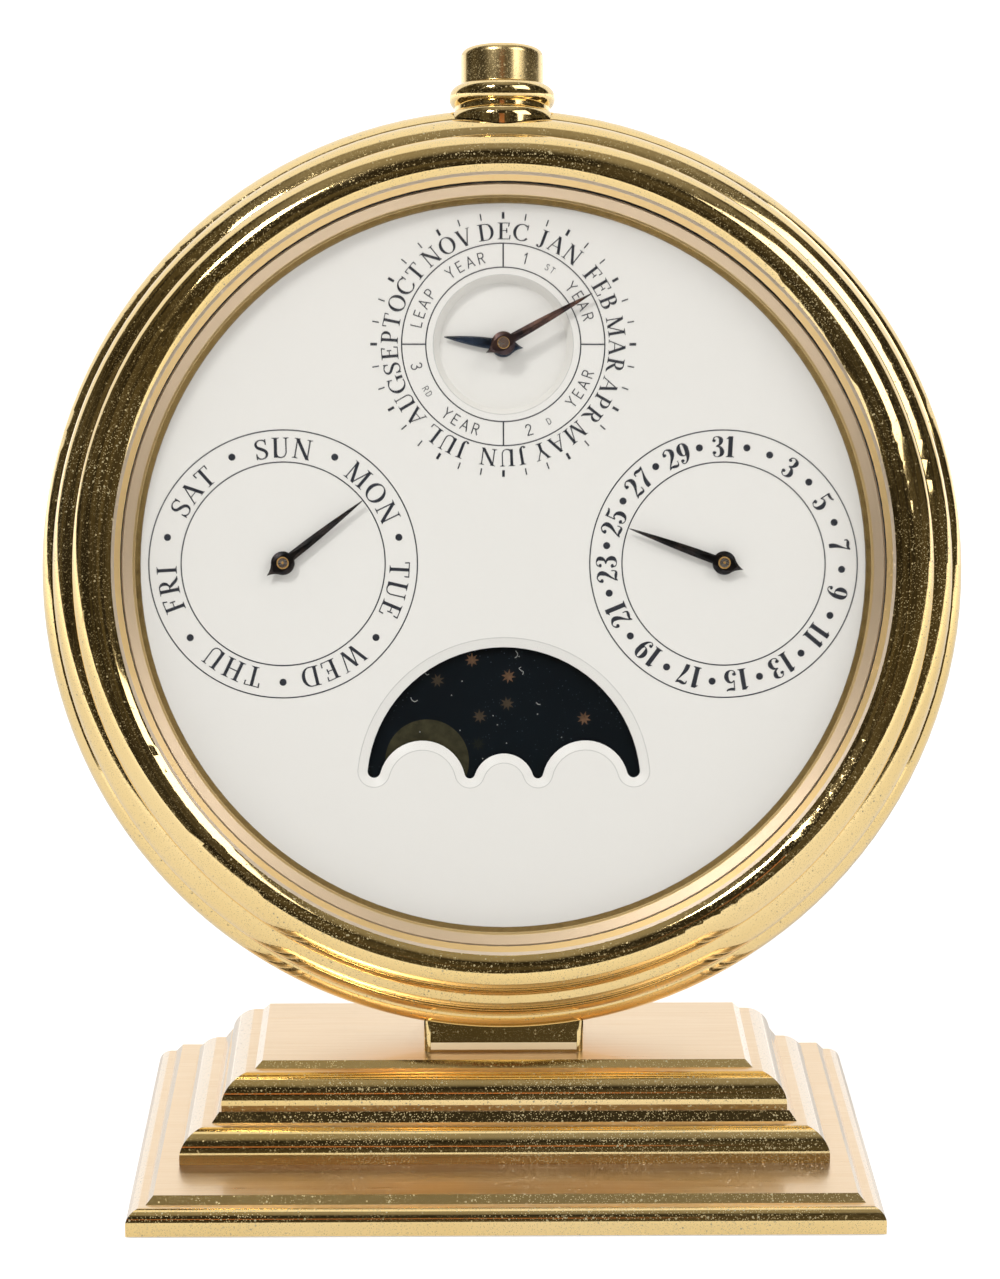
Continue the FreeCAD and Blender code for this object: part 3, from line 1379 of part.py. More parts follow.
reduction_wheel = toothed("reduction_wheel", gear_outer("gear_teeth"), gear_root("gear_teeth"), "gear_teeth",
                          "gear_gap_share", "gear_root_share", "reduction_arbor_radius + press_gap",
                          "gear_thickness", "reduction_level")
keep(reduction_wheel, CASE, across=REDUCTION[0], up=REDUCTION[1],
     turn="reduction_bearing - 180 + 180 / gear_teeth")

pinion_low = "(leap_level - seat_gap)"
pinion_top = "%s + pinion_thickness" % pinion_low
reduction_arbor = spin(new_body("reduction_arbor"), [
    ("0", "bridge_front - pivot_length"),
    ("pivot_radius", "bridge_front - pivot_length"),
    ("pivot_radius", "bridge_front + seat_gap"),
    ("reduction_arbor_radius", "bridge_front + seat_gap"),
    ("reduction_arbor_radius", pinion_low),
    (pinion_radius, pinion_low),
    (pinion_radius, pinion_top),
    ("pivot_radius", pinion_top),
    ("pivot_radius", "plate_seat + pivot_length"),
    ("0", "plate_seat + pivot_length"),
])
cut_gear(reduction_arbor, "pinion_teeth", pinion_top, "pinion_thickness")
keep(reduction_arbor, CASE, across=REDUCTION[0], up=REDUCTION[1], turn="reduction_bearing - 180")

gear_radius = gear_outer("gear_teeth")
pipe_bore = "arbor_radius + running_gap"
leap_wheel = spin(new_body("leap_wheel"), [
    (pipe_bore, "leap_level"),
    (gear_radius, "leap_level"),
    (gear_radius, "leap_level + gear_thickness"),
    ("pipe_radius", "leap_level + gear_thickness"),
    ("pipe_radius", "pipe_top"),
    (pipe_bore, "pipe_top"),
])
cut_gear(leap_wheel, "gear_teeth", "leap_level + gear_thickness", "gear_thickness")
keep(leap_wheel, CASE, up=MONTH[1], turn="reduction_bearing + 180 / gear_teeth")


# Month cam: four years of months round its rim, shallow notches for months of thirty days and
# deeper ones for February, which is a step less deep in the leap year.
def notch_outline(place_number, depth):
    middle, half = "360 / months * %s" % place_number, "180 / months * cam_notch_share"
    return [
        polar("cam_radius - " + depth, "%s - %s" % (middle, half)),
        polar("cam_radius + overrun", "%s - %s" % (middle, half)),
        polar("cam_radius + overrun", "%s + %s" % (middle, half)),
        polar("cam_radius - " + depth, "%s + %s" % (middle, half)),
    ]


month_cam = new_body("month_cam")
cam_blank = draw_circle(new_sketch(month_cam, "XY_Plane", "cam_level"), "0", "0", "cam_radius")
draw_circle(cam_blank, "0", "0", "pipe_radius + press_gap")
pad(month_cam, cam_blank, "cam_thickness")
short_months = new_sketch(month_cam, "XY_Plane", "cam_level")
for month in (4, 6, 9, 11):
    draw(short_months, notch_outline(month, "cam_short_month"))
february = draw(new_sketch(month_cam, "XY_Plane", "cam_level"), notch_outline(2, "cam_leap_february"))
repeat(month_cam, [pocket(month_cam, short_months)], "years")
repeat(month_cam, [pocket(month_cam, february)], "years")
plain_years = new_sketch(month_cam, "XY_Plane", "cam_level")
for year in (1, 2, 3):
    draw(plain_years, notch_outline("(2 + months / years * %d)" % year, "cam_february"))
pocket(month_cam, plain_years)
keep(month_cam, CASE, up=MONTH[1])

# Month lever: its beak rides over the cam and its pin waits beside the date wheel.
keep(spin(new_body("lever_stud"), [
    ("0", "cam_level - 2 * lever_thickness"),
    ("lever_hub_radius", "cam_level - 2 * lever_thickness"),
    ("lever_hub_radius", "cam_level - seat_gap"),
    ("lever_stud_radius", "cam_level - seat_gap"),
    ("lever_stud_radius", plate_front),
    ("0", plate_front),
]), CASE, across=LEVER[0], up=LEVER[1])

pin_reach = "(date_wheel_radius + lever_pin_clearance + lever_pin_radius)"
pin_across = "(subdial_offset + %s * cos(lever_pin_bearing) - %s)" % (pin_reach, LEVER[0])
pin_up = "(%s * sin(lever_pin_bearing) - %s)" % (pin_reach, LEVER[1])
arm_length = "sqrt(%s ^ 2 + %s ^ 2)" % (pin_across, pin_up)
hub = cylinder("lever_hub", "lever_hub_radius", "lever_thickness", "cam_level")
beak_arm = new_body("beak_arm")
pad(beak_arm, draw(new_sketch(beak_arm, "XY_Plane", "cam_level"), [
    ("0", "-lever_arm"),
    ("2 * lever_half_width", "-lever_arm"),
    ("2 * lever_half_width", "0"),
    ("0", "0"),
]), "lever_thickness")
place(beak_arm, WORLD, turn="lever_beak_angle")
pin_arm = new_body("pin_arm")
pad(pin_arm, draw(new_sketch(pin_arm, "XY_Plane", "cam_level"), [
    ("0", "-lever_half_width"),
    (arm_length + " + lever_half_width", "-lever_half_width"),
    (arm_length + " + lever_half_width", "lever_half_width"),
    ("0", "lever_half_width"),
]), "lever_thickness")
place(pin_arm, WORLD, turn="atan2(%s; %s)" % (pin_up, pin_across))
pin = place(cylinder("lever_pin", "lever_pin_radius", "cam_level - %s" % wheel_low), WORLD,
            pin_across, pin_up, wheel_low)
lever_blank = fused("lever_blank", [hub, beak_arm, pin_arm, pin])
stud_hole = cylinder("lever_bore", "lever_stud_radius + running_gap", "3 * lever_thickness",
                     "cam_level - lever_thickness")
keep(cut_from("month_lever", lever_blank, [stud_hole]), CASE, across=LEVER[0], up=LEVER[1])

# Jumper springs: each rests its beak in a tooth gap and holds its wheel in place.
jumper_low = "(wheel_front - wheel_thickness / 2 - jumper_thickness / 2)"
for label, (centre, outer, root, bearing) in JUMPERS.items():
    tip = "%s + (%s - %s) * jumper_bite_share" % (root, outer, root)
    inner = outer + " + jumper_clear"
    body = new_body(label)
    sketch = draw(new_sketch(body, "XY_Plane"), [
        (tip, "0"),
        (outer, "-jumper_beak_half_width"),
        (inner + " + jumper_blade", "-jumper_beak_half_width"),
        (inner + " + jumper_blade", "jumper_length"),
        (inner + " + jumper_foot_width", "jumper_length"),
        (inner + " + jumper_foot_width", "jumper_length + jumper_foot_length"),
        (inner, "jumper_length + jumper_foot_length"),
        (inner, "jumper_beak_half_width"),
        (outer, "jumper_beak_half_width"),
    ])
    draw_circle(sketch, inner + " + jumper_foot_width / 2", "jumper_length + jumper_foot_length / 2",
                "jumper_screw_radius + press_gap")
    pad(body, sketch, "jumper_thickness")
    keep(body, CASE, across=centre[0], up=centre[1], out=jumper_low, turn=bearing)

jumper_top = jumper_low + " + jumper_thickness"
feet = []
for index, (across, up) in enumerate(JUMPER_SPOTS):
    foot_screw = spin(new_body("foot_screw_%d" % (index + 1)), [
        ("0", jumper_low + " - seat_gap - jumper_screw_head_height"),
        ("jumper_screw_head_radius", jumper_low + " - seat_gap - jumper_screw_head_height"),
        ("jumper_screw_head_radius", jumper_low + " - seat_gap"),
        ("jumper_screw_radius", jumper_low + " - seat_gap"),
        ("jumper_screw_radius", jumper_top + " + seat_gap"),
        ("jumper_spacer_radius", jumper_top + " + seat_gap"),
        ("jumper_spacer_radius", "plate_seat - seat_gap"),
        ("jumper_screw_radius", "plate_seat - seat_gap"),
        ("jumper_screw_radius", plate_front),
        ("0", plate_front),
    ])
    feet.append(place(foot_screw, WORLD, across, up))
keep(group("jumper_screws", feet), CASE)


# Hands: a flat blade that narrows to a point, a round hub and a short pointed tail.
def hand(label, length, level, thickness, bore, centre, angle):
    body = new_body(label)
    blade_foot = "sqrt(hand_hub_radius ^ 2 - hand_half_width ^ 2)"
    tail_foot = "-sqrt(hand_hub_radius ^ 2 - hand_tail_half_width ^ 2)"
    waist = "(hand_half_width + hand_tip_half_width) / 2 + hand_tip_half_width"
    sketch = draw(new_sketch(body, "XY_Plane", level), [
        ("hand_half_width", blade_foot),
        (waist, "%s / 2" % length),
        ("hand_tip_half_width", length),
        ("-hand_tip_half_width", length),
        ("-(%s)" % waist, "%s / 2" % length),
        ("-hand_half_width", blade_foot, "hand_hub_radius", 1),
        ("-hand_tail_half_width", tail_foot),
        ("0", "-hand_tail"),
        ("hand_tail_half_width", tail_foot, "hand_hub_radius", 1),
    ])
    draw_circle(sketch, "0", "0", bore)
    pad(body, sketch, thickness)
    return keep(body, CASE, across=centre[0], up=centre[1], turn="-" + angle)


hand("day_hand", "day_hand_length", "hand_level", "hand_thickness", arbor_bore, DAY, "day_hand_angle")
hand("date_hand", "date_hand_length", "hand_level", "hand_thickness", arbor_bore, DATE, "date_hand_angle")
hand("month_hand", "month_hand_length", "month_hand_level", "hand_thickness", arbor_bore, MONTH,
     "month_hand_angle")
hand("leap_hand", "leap_hand_length", "leap_hand_level", "leap_hand_thickness", "pipe_radius + press_gap",
     MONTH, "leap_hand_angle")
keep(washer("moon_disc", "moon_disc_radius", arbor_bore, "moon_disc_level", "moon_disc_thickness"),
     CASE, up=MOON[1])

# Check every object, then write each sub-part to its own file.
doc.recompute()
faults = [item.Label for item in doc.Objects if "Invalid" in item.State or "Error" in item.State]
for piece in PIECES:
    if piece.Shape.isNull() or not piece.Shape.isValid() or not piece.Shape.Solids:
        faults.append(piece.Label + " has no valid solid")
if faults:
    raise RuntimeError("not built: " + ", ".join(faults))
for piece in PIECES:
    piece.Shape.exportStep("parts/%s.step" % piece.Label)
    box = piece.Shape.BoundBox
    print("%-18s %3d solid(s)  %6.1f x %6.1f x %6.1f mm" % (
        piece.Label, len(piece.Shape.Solids), box.XLength, box.YLength, box.ZLength))
print(len(PIECES), "sub-parts")
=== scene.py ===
# %% [markdown]
# # A brass desk calendar, dressed over its construction
#
# The calendar is a round gilt case that leans back on a stepped base. Its solids, with their
# real sizes, come in as a fixed frame. This lesson gives them their finishes, prints the dial,
# shapes the hands, paints the moon disc, and sets up the camera, the floor and the light.

# %% Load the construction
import json
import math

import bmesh
import bpy
from mathutils import Matrix, Vector


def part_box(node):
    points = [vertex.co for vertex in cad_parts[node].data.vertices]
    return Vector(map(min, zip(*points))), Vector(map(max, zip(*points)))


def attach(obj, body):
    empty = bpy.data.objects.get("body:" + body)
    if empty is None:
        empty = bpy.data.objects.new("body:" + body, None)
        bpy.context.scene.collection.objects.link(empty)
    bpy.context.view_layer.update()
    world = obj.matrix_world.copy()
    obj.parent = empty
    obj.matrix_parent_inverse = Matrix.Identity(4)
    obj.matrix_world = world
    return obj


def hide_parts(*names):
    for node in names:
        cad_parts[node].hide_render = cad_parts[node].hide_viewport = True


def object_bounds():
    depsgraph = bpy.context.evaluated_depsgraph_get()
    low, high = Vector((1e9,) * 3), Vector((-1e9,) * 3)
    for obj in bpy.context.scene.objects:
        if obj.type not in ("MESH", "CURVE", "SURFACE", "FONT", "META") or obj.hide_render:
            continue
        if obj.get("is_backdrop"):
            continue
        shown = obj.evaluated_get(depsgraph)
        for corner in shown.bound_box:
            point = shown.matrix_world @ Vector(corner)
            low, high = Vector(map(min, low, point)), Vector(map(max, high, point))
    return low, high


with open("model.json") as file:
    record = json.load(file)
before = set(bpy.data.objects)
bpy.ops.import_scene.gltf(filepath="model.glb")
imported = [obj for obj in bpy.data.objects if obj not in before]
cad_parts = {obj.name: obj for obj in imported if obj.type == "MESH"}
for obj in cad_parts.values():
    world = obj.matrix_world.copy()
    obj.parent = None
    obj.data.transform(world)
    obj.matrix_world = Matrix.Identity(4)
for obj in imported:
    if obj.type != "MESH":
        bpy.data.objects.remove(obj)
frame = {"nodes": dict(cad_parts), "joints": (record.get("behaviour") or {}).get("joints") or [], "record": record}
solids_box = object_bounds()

MM = 0.001
nodes = frame["nodes"]
joints = {joint["name"]: joint for joint in frame["joints"]}

# %% [markdown]
# ## Where the dial is
#
# Everything on the dial is easiest to place in the dial's own directions: across, up the dial,
# and out of it. The hands turn about axes that stand square to the dial, so their joints give
# these directions without a typed angle. The dial's face is the furthest that its solid reaches
# outward. From here on, `spot(across, up, out)` takes millimetres on the dial and gives a point
# in the room.

# %% Directions and centres of the dial
ACROSS = Vector((1, 0, 0))
OUT = -Vector(joints["day_turn"]["axis"]).normalized()
UP = OUT.cross(ACROSS)


def reach(node, direction):
    """How far a solid reaches along a direction."""
    return max(vertex.co.dot(direction) for vertex in nodes[node].data.vertices)


day_centre = Vector(joints["day_turn"]["pos_m"])
date_centre = Vector(joints["date_turn"]["pos_m"])
middle = (day_centre + date_centre) / 2
middle += OUT * (reach("dial", OUT) - middle.dot(OUT))
DIAL = Matrix((ACROSS, UP, OUT)).transposed().to_4x4()
DIAL.translation = middle


def spot(across, up, out=0.0):
    return DIAL @ (Vector((across, up, out)) * MM)


def on_dial(point):
    """The same point in the dial's own millimetres."""
    return (DIAL.inverted() @ Vector(point)) / MM


CENTRES = {name: on_dial(joints[name + "_turn"]["pos_m"]).xy for name in ("day", "date", "month", "moon")}
print("circle centres, mm:", {name: tuple(round(x, 2) for x in at) for name, at in CENTRES.items()})

# %% [markdown]
# ## Building a piece
#
# Each added piece is a mesh of its own. It rides on the body that carries it on the real object,
# so that it turns with a hand or stays with the dial. Where it does the work of a plain solid, it
# says which one it replaces.

# %% Helpers for pieces
def seat(name, mesh, finish, body, stands_for=()):
    """Put a mesh in the room with its finish, on the body that carries it."""
    mesh.materials.clear()
    mesh.materials.append(finish.material)
    made = bpy.data.objects.new(name, mesh)
    bpy.context.scene.collection.objects.link(made)
    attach(made, body)
    if stands_for:
        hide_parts(*stands_for)
    return made


def piece(name, verts, faces, finish, body, stands_for=()):
    mesh = bpy.data.meshes.new(name)
    mesh.from_pydata([tuple(v) for v in verts], [], faces)
    mesh.validate()
    return seat(name, mesh, finish, body, stands_for)


# %% [markdown]
# ## How a finish is written
#
# A finish is one Principled shader whose colour, roughness and height come from a few textures.
# Small helpers keep each finish readable: `node` adds one shader node with its settings, and
# links are made by handing a socket over as an input. The same helpers paint the studio later.

# %% Helpers for shader nodes
class Shading:
    """A tree of shader nodes, with short ways to add and join them."""

    def __init__(self, tree):
        self.tree = tree

    def put(self, socket, setting):
        if isinstance(setting, bpy.types.NodeSocket):
            self.tree.links.new(setting, socket)
        elif hasattr(socket.default_value, "__len__") and len(socket.default_value) == 4:
            socket.default_value = tuple(setting) + (1.0,) * (4 - len(setting))
        else:
            socket.default_value = setting

    def node(self, kind, inputs=None, out=0, **attributes):
        made = self.tree.nodes.new("ShaderNode" + kind)
        for name, setting in attributes.items():
            setattr(made, name, setting)
        for key, setting in (inputs or {}).items():
            self.put(made.inputs[key], setting)
        return made.outputs[out]

    def mix(self, fac, first, second):
        """Colours: the first where fac is 0, the second where it is 1."""
        made = self.node("Mix", data_type="RGBA").node
        for key, setting in (("Factor", fac), (6, first), (7, second)):
            self.put(made.inputs[key], setting)
        return made.outputs[2]

    def maths(self, operation, first, second=0.0):
        return self.node("Math", {0: first, 1: second}, operation=operation)

    def times(self, first, second):
        return self.maths("MULTIPLY", first, second)

    def plus(self, first, second):
        return self.maths("ADD", first, second)

    def less(self, first, second):
        return self.maths("SUBTRACT", first, second)

    def ramp(self, fac, low, high, from_low=0.0, from_high=1.0):
        return self.node("MapRange", {"Value": fac, "From Min": from_low, "From Max": from_high,
                                      "To Min": low, "To Max": high}, out="Result")

    def rise(self, value, start, end):
        """0 up to the start, 1 from the end on, and a straight slope between."""
        return self.ramp(value, 0.0, 1.0, start, end)

    def fall(self, value, start, end):
        return self.ramp(value, 1.0, 0.0, start, end)


# %% Helpers for finishes
class Finish(Shading):
    """One material: a Principled shader and what feeds it."""

    def __init__(self, name, **settings):
        self.material = bpy.data.materials.new(name)
        self.material.use_nodes = True
        super().__init__(self.material.node_tree)
        self.shader = self.tree.nodes["Principled BSDF"]
        for socket, setting in settings.items():
            self.set(socket.replace("_", " "), setting)

    def set(self, socket, setting):
        self.put(self.shader.inputs[socket], setting)

    def so_far(self, socket):
        """What feeds a socket of the shader now."""
        return self.shader.inputs[socket].links[0].from_socket

    def place(self, stretch=(1, 1, 1)):
        """Object coordinates, stretched: a high number packs a texture tightly along that axis."""
        at = self.node("TexCoord", out="Object")
        return self.node("Mapping", {"Vector": at, "Scale": stretch})

    def noise(self, scale, detail=4.0, rough=0.5, stretch=(1, 1, 1)):
        return self.node("TexNoise", {"Vector": self.place(stretch), "Scale": scale, "Detail": detail,
                                      "Roughness": rough}, out="Fac")

    def specks(self, scale, size, share):
        """Small round specks: one to a cell, and only in a share of the cells."""
        near = self.node("TexVoronoi", {"Vector": self.place(), "Scale": scale}, out="Distance")
        kept = self.rise(near.node.outputs["Color"], 1.0 - share, 1.02 - share)
        return self.times(self.fall(near, size * 0.5, size), kept)

    def bump(self, height, strength, distance):
        """Turn a height into small tilts of the surface. The distance is in millimetres."""
        self.set("Normal", self.node("Bump", {"Height": height, "Strength": strength,
                                              "Distance": distance * MM}, out="Normal"))


def dress(finish, *names):
    for name in names:
        slots = nodes[name].data.materials
        slots.clear()
        slots.append(finish.material)


# %% [markdown]
# ## Polished gilt brass
#
# The case, bezel, button and base are turned or milled brass, polished and gilt under lacquer.
# Such a surface shows little colour of its own: it mirrors the studio in gold. What makes it
# real is what years leave on it: a very fine haze, hairline scratches in all directions and dust
# that catches the light. The scratches are stretched noise cut to thin lines. The dust is a
# cell texture cut to small dots, thicker in some patches than in others. The cap of the button
# is rubbed by fingers, so its polish is duller.

# %% Polished gilt brass
GOLD = (0.91, 0.66, 0.27)
GOLD_PALE = (0.95, 0.72, 0.35)
LACQUER = 0.4
LACQUER_BLUR = 0.04
DUST = (0.40, 0.35, 0.21)
DUST_HIDES = 0.85
DUST_BLUR = 0.5
DUST_PATCHES = (0.25, 1.0, 0.40, 0.62)
SCRATCHES = ((55.0, (1, 24, 8)), (70.0, (22, 1, 10)), (60.0, (9, 14, 1)))
SCRATCH_CUT = (0.69, 0.74)
SCRATCH_BLUR = 0.12
NARROW = (0.35, 0.65)
WIDE = (0.3, 0.7)


def polished_gilt(name, roughness=0.07, dusty=1.1):
    gilt = Finish(name, Coat_Weight=LACQUER, Coat_Roughness=LACQUER_BLUR)
    gold = gilt.mix(gilt.rise(gilt.noise(22.0, detail=3.0), *NARROW), GOLD, GOLD_PALE)
    scratches = 0.0
    for scale, stretch in SCRATCHES:
        lines = gilt.noise(scale, detail=3.0, rough=0.6, stretch=stretch)
        scratches = gilt.maths("MAXIMUM", scratches, gilt.rise(lines, *SCRATCH_CUT))
    grains = gilt.times(gilt.specks(4200.0, size=0.42, share=0.60), 0.45 * dusty)
    crumbs = gilt.times(gilt.specks(1500.0, size=0.26, share=0.38), dusty)
    patches = gilt.ramp(gilt.noise(70.0, rough=0.6), *DUST_PATCHES)
    dust = gilt.times(gilt.maths("MAXIMUM", grains, crumbs), patches)
    haze = gilt.ramp(gilt.noise(160.0, detail=5.0), roughness * 0.7, roughness * 1.4, *WIDE)
    blur = gilt.plus(haze, gilt.times(scratches, SCRATCH_BLUR))
    gilt.set("Base Color", gilt.mix(dust, gold, DUST))
    gilt.set("Metallic", gilt.less(1.0, gilt.times(dust, DUST_HIDES)))
    gilt.set("Roughness", gilt.plus(blur, gilt.times(dust, DUST_BLUR)))
    peel = gilt.times(gilt.noise(2600.0, detail=2.0), 0.5)
    gilt.bump(gilt.less(peel, scratches), strength=0.12, distance=0.012)
    return gilt


dress(polished_gilt("polished_gilt_brass"), "case_body", "crown_collar")
dress(polished_gilt("button_gilt_brass", roughness=0.22), "button_cap")
print("polished brass on the case and the button")

# %% [markdown]
# ## The bezel and its lip
#
# The bezel is polished like the case, but the narrow lip that holds the glass is grained to a
# satin, so that it stays pale whatever the room does. Inside it is a small step of a paler gilt.
# The bead, the lip and the step meet at turned edges. A distance from the dial's axis, worked
# out in the shader, tells them apart.

# %% Bezel
LIP_STEP = 54.68
STEP_BLEND = 0.04
LIP_EDGE = 55.12
EDGE_BLEND = 0.05
LIP_GOLD = (1.0, 0.72, 0.34)
STEP_GOLD = (0.92, 0.76, 0.58)
LIP_BLUR = 0.40


def far_from_axis(finish):
    """Distance from the dial's axis in millimetres."""
    at = finish.node("TexCoord", out="Object")
    offset = finish.node("VectorMath", {0: at, 1: middle}, operation="SUBTRACT")
    x = finish.node("VectorMath", {0: offset, 1: ACROSS / MM}, out="Value", operation="DOT_PRODUCT")
    y = finish.node("VectorMath", {0: offset, 1: UP / MM}, out="Value", operation="DOT_PRODUCT")
    return finish.maths("SQRT", finish.plus(finish.times(x, x), finish.times(y, y)))


def bezel_gilt():
    gilt = polished_gilt("bezel_gilt_brass")
    radius = far_from_axis(gilt)
    inside_edge = gilt.fall(radius, LIP_EDGE - EDGE_BLEND, LIP_EDGE)
    inside_step = gilt.fall(radius, LIP_STEP - STEP_BLEND, LIP_STEP)
    lip_colour = gilt.mix(inside_step, STEP_GOLD, LIP_GOLD)
    gilt.set("Base Color", gilt.mix(inside_edge, gilt.so_far("Base Color"), lip_colour))
    gilt.set("Roughness", gilt.plus(gilt.so_far("Roughness"), gilt.times(inside_edge, LIP_BLUR)))
    return gilt


dress(bezel_gilt(), "bezel")
print("bezel dressed, with its lip inside", LIP_EDGE, "mm")

# %% [markdown]
# ## The ring round the dial
#
# Under the glass a thin ring slopes up from the dial. It is turned in one go but finished in
# three bands: a dark satin slope next to the dial, a bright line, and a pale satin flare
# that runs out under the lip.

# %% Dial ring
SLOPE_END = 52.12
SLOPE_BLEND = 0.04
LAND_END = 52.46
LAND_BLEND = 0.05
SLOPE_DARK = (0.20, 0.125, 0.040)
SLOPE_LIGHT = (0.36, 0.25, 0.10)
LAND_GOLD = (1.0, 0.74, 0.36)
FLARE_GOLD = (0.92, 0.72, 0.50)
SATIN_BLUR = 0.22


def ring_gilt():
    gilt = Finish("dial_ring_gilt", Metallic=1.0)
    radius = far_from_axis(gilt)
    grain = gilt.noise(900.0, detail=3.0, rough=0.6)
    past_slope = gilt.rise(radius, SLOPE_END - SLOPE_BLEND, SLOPE_END)
    past_land = gilt.rise(radius, LAND_END, LAND_END + LAND_BLEND)
    slope = gilt.mix(grain, SLOPE_DARK, SLOPE_LIGHT)
    gilt.set("Base Color", gilt.mix(past_land, gilt.mix(past_slope, slope, LAND_GOLD), FLARE_GOLD))
    gilt.set("Roughness", gilt.plus(gilt.ramp(grain, 0.20, 0.28), gilt.times(past_slope, SATIN_BLUR)))
    gilt.bump(grain, strength=0.1, distance=0.02)
    return gilt


dress(ring_gilt(), "dial_ring")
print("dial ring dressed in three bands")

# %% [markdown]
# ## The pedestal
#
# The block between base and case is milled, then its front is lapped in two planes: the lower
# strip stands upright and mirrors the top of the base, and the upper part leans back and mirrors
# the room. The construction gives the plain block with its hollow seat. Here its mesh is copied,
# cut level above the strip, and the front edge of the seat is set back along the seat's slope.

# %% The shape of the pedestal
STRIP = 1.45 * MM
LEAN = math.tan(math.radians(12.5))
SEAT_SLOPE = 0.45
FRONT_DEPTH = 0.95 * MM
HAIR = 1e-6
SAME_POINT = 1e-7

low_corner, high_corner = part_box("pedestal")
cut_height = low_corner[2] + STRIP
block = bmesh.new()
block.from_mesh(nodes["pedestal"].data)
bmesh.ops.bisect_plane(block, geom=block.verts[:] + block.edges[:] + block.faces[:], dist=SAME_POINT,
                       plane_co=(0, 0, cut_height), plane_no=(0, 0, 1))
moved = 0
for vertex in block.verts:
    above = vertex.co.z - cut_height
    if above > HAIR and vertex.co.y < low_corner[1] + FRONT_DEPTH:
        back = above * LEAN
        vertex.co.y += back
        vertex.co.z -= back * SEAT_SLOPE
        moved += 1
block_mesh = bpy.data.meshes.new("pedestal_block")
block.to_mesh(block_mesh)
block.free()
print("pedestal lapped back at", moved, "points of its front edge")

# %% [markdown]
# The strip has a fine satin grain, and its colour is painted paler than the plane over it: a
# painted reflection of the lit top of the base. A thin polished line is left at its foot, and so
# are its two corners. The satin part is found by height and by the distance from the middle.

# %% The finish of the pedestal
STRIP_SATIN_AND_SHEEN = {"Base Color": (1.0, 0.82, 0.54), "Metallic": (0.30,) * 3, "Roughness": (0.42,) * 3}
STRIP_BLEND = 0.04 * MM
POLISHED_LINE = low_corner[2] + 0.32 * MM
POLISHED_LINE_END = low_corner[2] + 0.384 * MM
CORNER = high_corner[0] - 0.99 * MM
CORNER_END = high_corner[0] - 0.9 * MM

block_gilt = polished_gilt("pedestal_gilt_brass")
height_here = block_gilt.node("SeparateXYZ", {0: block_gilt.node("TexCoord", out="Object")}, out="Z")
off_middle = block_gilt.maths("ABSOLUTE", height_here.node.outputs["X"])
under_cut = block_gilt.fall(height_here, cut_height - STRIP_BLEND, cut_height)
over_line = block_gilt.rise(height_here, POLISHED_LINE, POLISHED_LINE_END)
off_corners = block_gilt.fall(off_middle, CORNER, CORNER_END)
on_strip = block_gilt.times(under_cut, block_gilt.times(over_line, off_corners))
# satin finish plus a painted reflection: the strip's colour is raised pale to stand for the lit base top that it
# mirrors
for socket, satin_and_sheen in STRIP_SATIN_AND_SHEEN.items():
    block_gilt.set(socket, block_gilt.mix(on_strip, block_gilt.so_far(socket), satin_and_sheen))
seat("pedestal_block", block_mesh, block_gilt, "stand", stands_for=("pedestal",))
print("pedestal dressed, with a strip of", round(STRIP / MM, 2), "mm")

# %% [markdown]
# ## The base, polished and brushed
#
# The three plates of the base are polished on their mouldings, but their flat tops are brushed
# from side to side. One finish can tell the two apart by the way a surface faces: where it looks
# straight up it is a brushed top. Brushing is noise drawn out long across the plate. The
# mouldings on the two short sides are painted paler than the front: a painted reflection of the
# white room beside them, put into their colour.

# %% Base plates
SIDE_REFLECTION_GOLD = (0.97, 0.86, 0.76)
SIDE_REFLECTION_SHARE = 0.75
SIDE_FACING = (0.02, 0.12)
TOP_FACING = (0.985, 0.995)
BRUSHED_GOLD = (0.90, 0.67, 0.42)
BRUSHED_PALE = (0.98, 0.78, 0.55)
BRUSHED_BLUR = (0.26, 0.40)


def base_gilt():
    gilt = polished_gilt("base_gilt_brass", roughness=0.08, dusty=1.5)
    facing = gilt.node("SeparateXYZ", {0: gilt.node("NewGeometry", out="True Normal")}, out="Z")
    top = gilt.rise(facing, *TOP_FACING)
    sideways = gilt.maths("ABSOLUTE", facing.node.outputs["X"])
    # painted reflection: mouldings that face sideways are mixed towards a pale gold, as if they mirrored the white
    # room
    side_reflection = gilt.ramp(sideways, 0.0, SIDE_REFLECTION_SHARE, *SIDE_FACING)
    fine = gilt.noise(240.0, detail=3.0, rough=0.6, stretch=(0.35, 14, 1))
    coarse = gilt.noise(60.0, detail=2.0, stretch=(0.5, 16, 1))
    brushing = gilt.plus(gilt.times(fine, 0.7), gilt.times(coarse, 0.3))
    polished_colour = gilt.mix(side_reflection, gilt.so_far("Base Color"), SIDE_REFLECTION_GOLD)
    brushed_colour = gilt.mix(gilt.rise(brushing, *NARROW), BRUSHED_GOLD, BRUSHED_PALE)
    gilt.set("Base Color", gilt.mix(top, polished_colour, brushed_colour))
    polished_blur = gilt.times(gilt.so_far("Roughness"), gilt.less(1.0, top))
    brushed_blur = gilt.times(gilt.ramp(brushing, *BRUSHED_BLUR, *WIDE), top)
    gilt.set("Roughness", gilt.plus(polished_blur, brushed_blur))
    gilt.bump(gilt.times(brushing, top), strength=0.25, distance=0.02)
    return gilt


dress(base_gilt(), "base_plate", "base_middle", "base_top")
print("base dressed")

# %% [markdown]
# ## Metal inside and behind
#
# The movement's plates are plain machined brass, and its arbors, levers and screws are steel.
# Most of them are hidden, but the back cover and its screws are seen from behind, so these
# finishes get a fine grain too. The seal under the glass is black rubber.

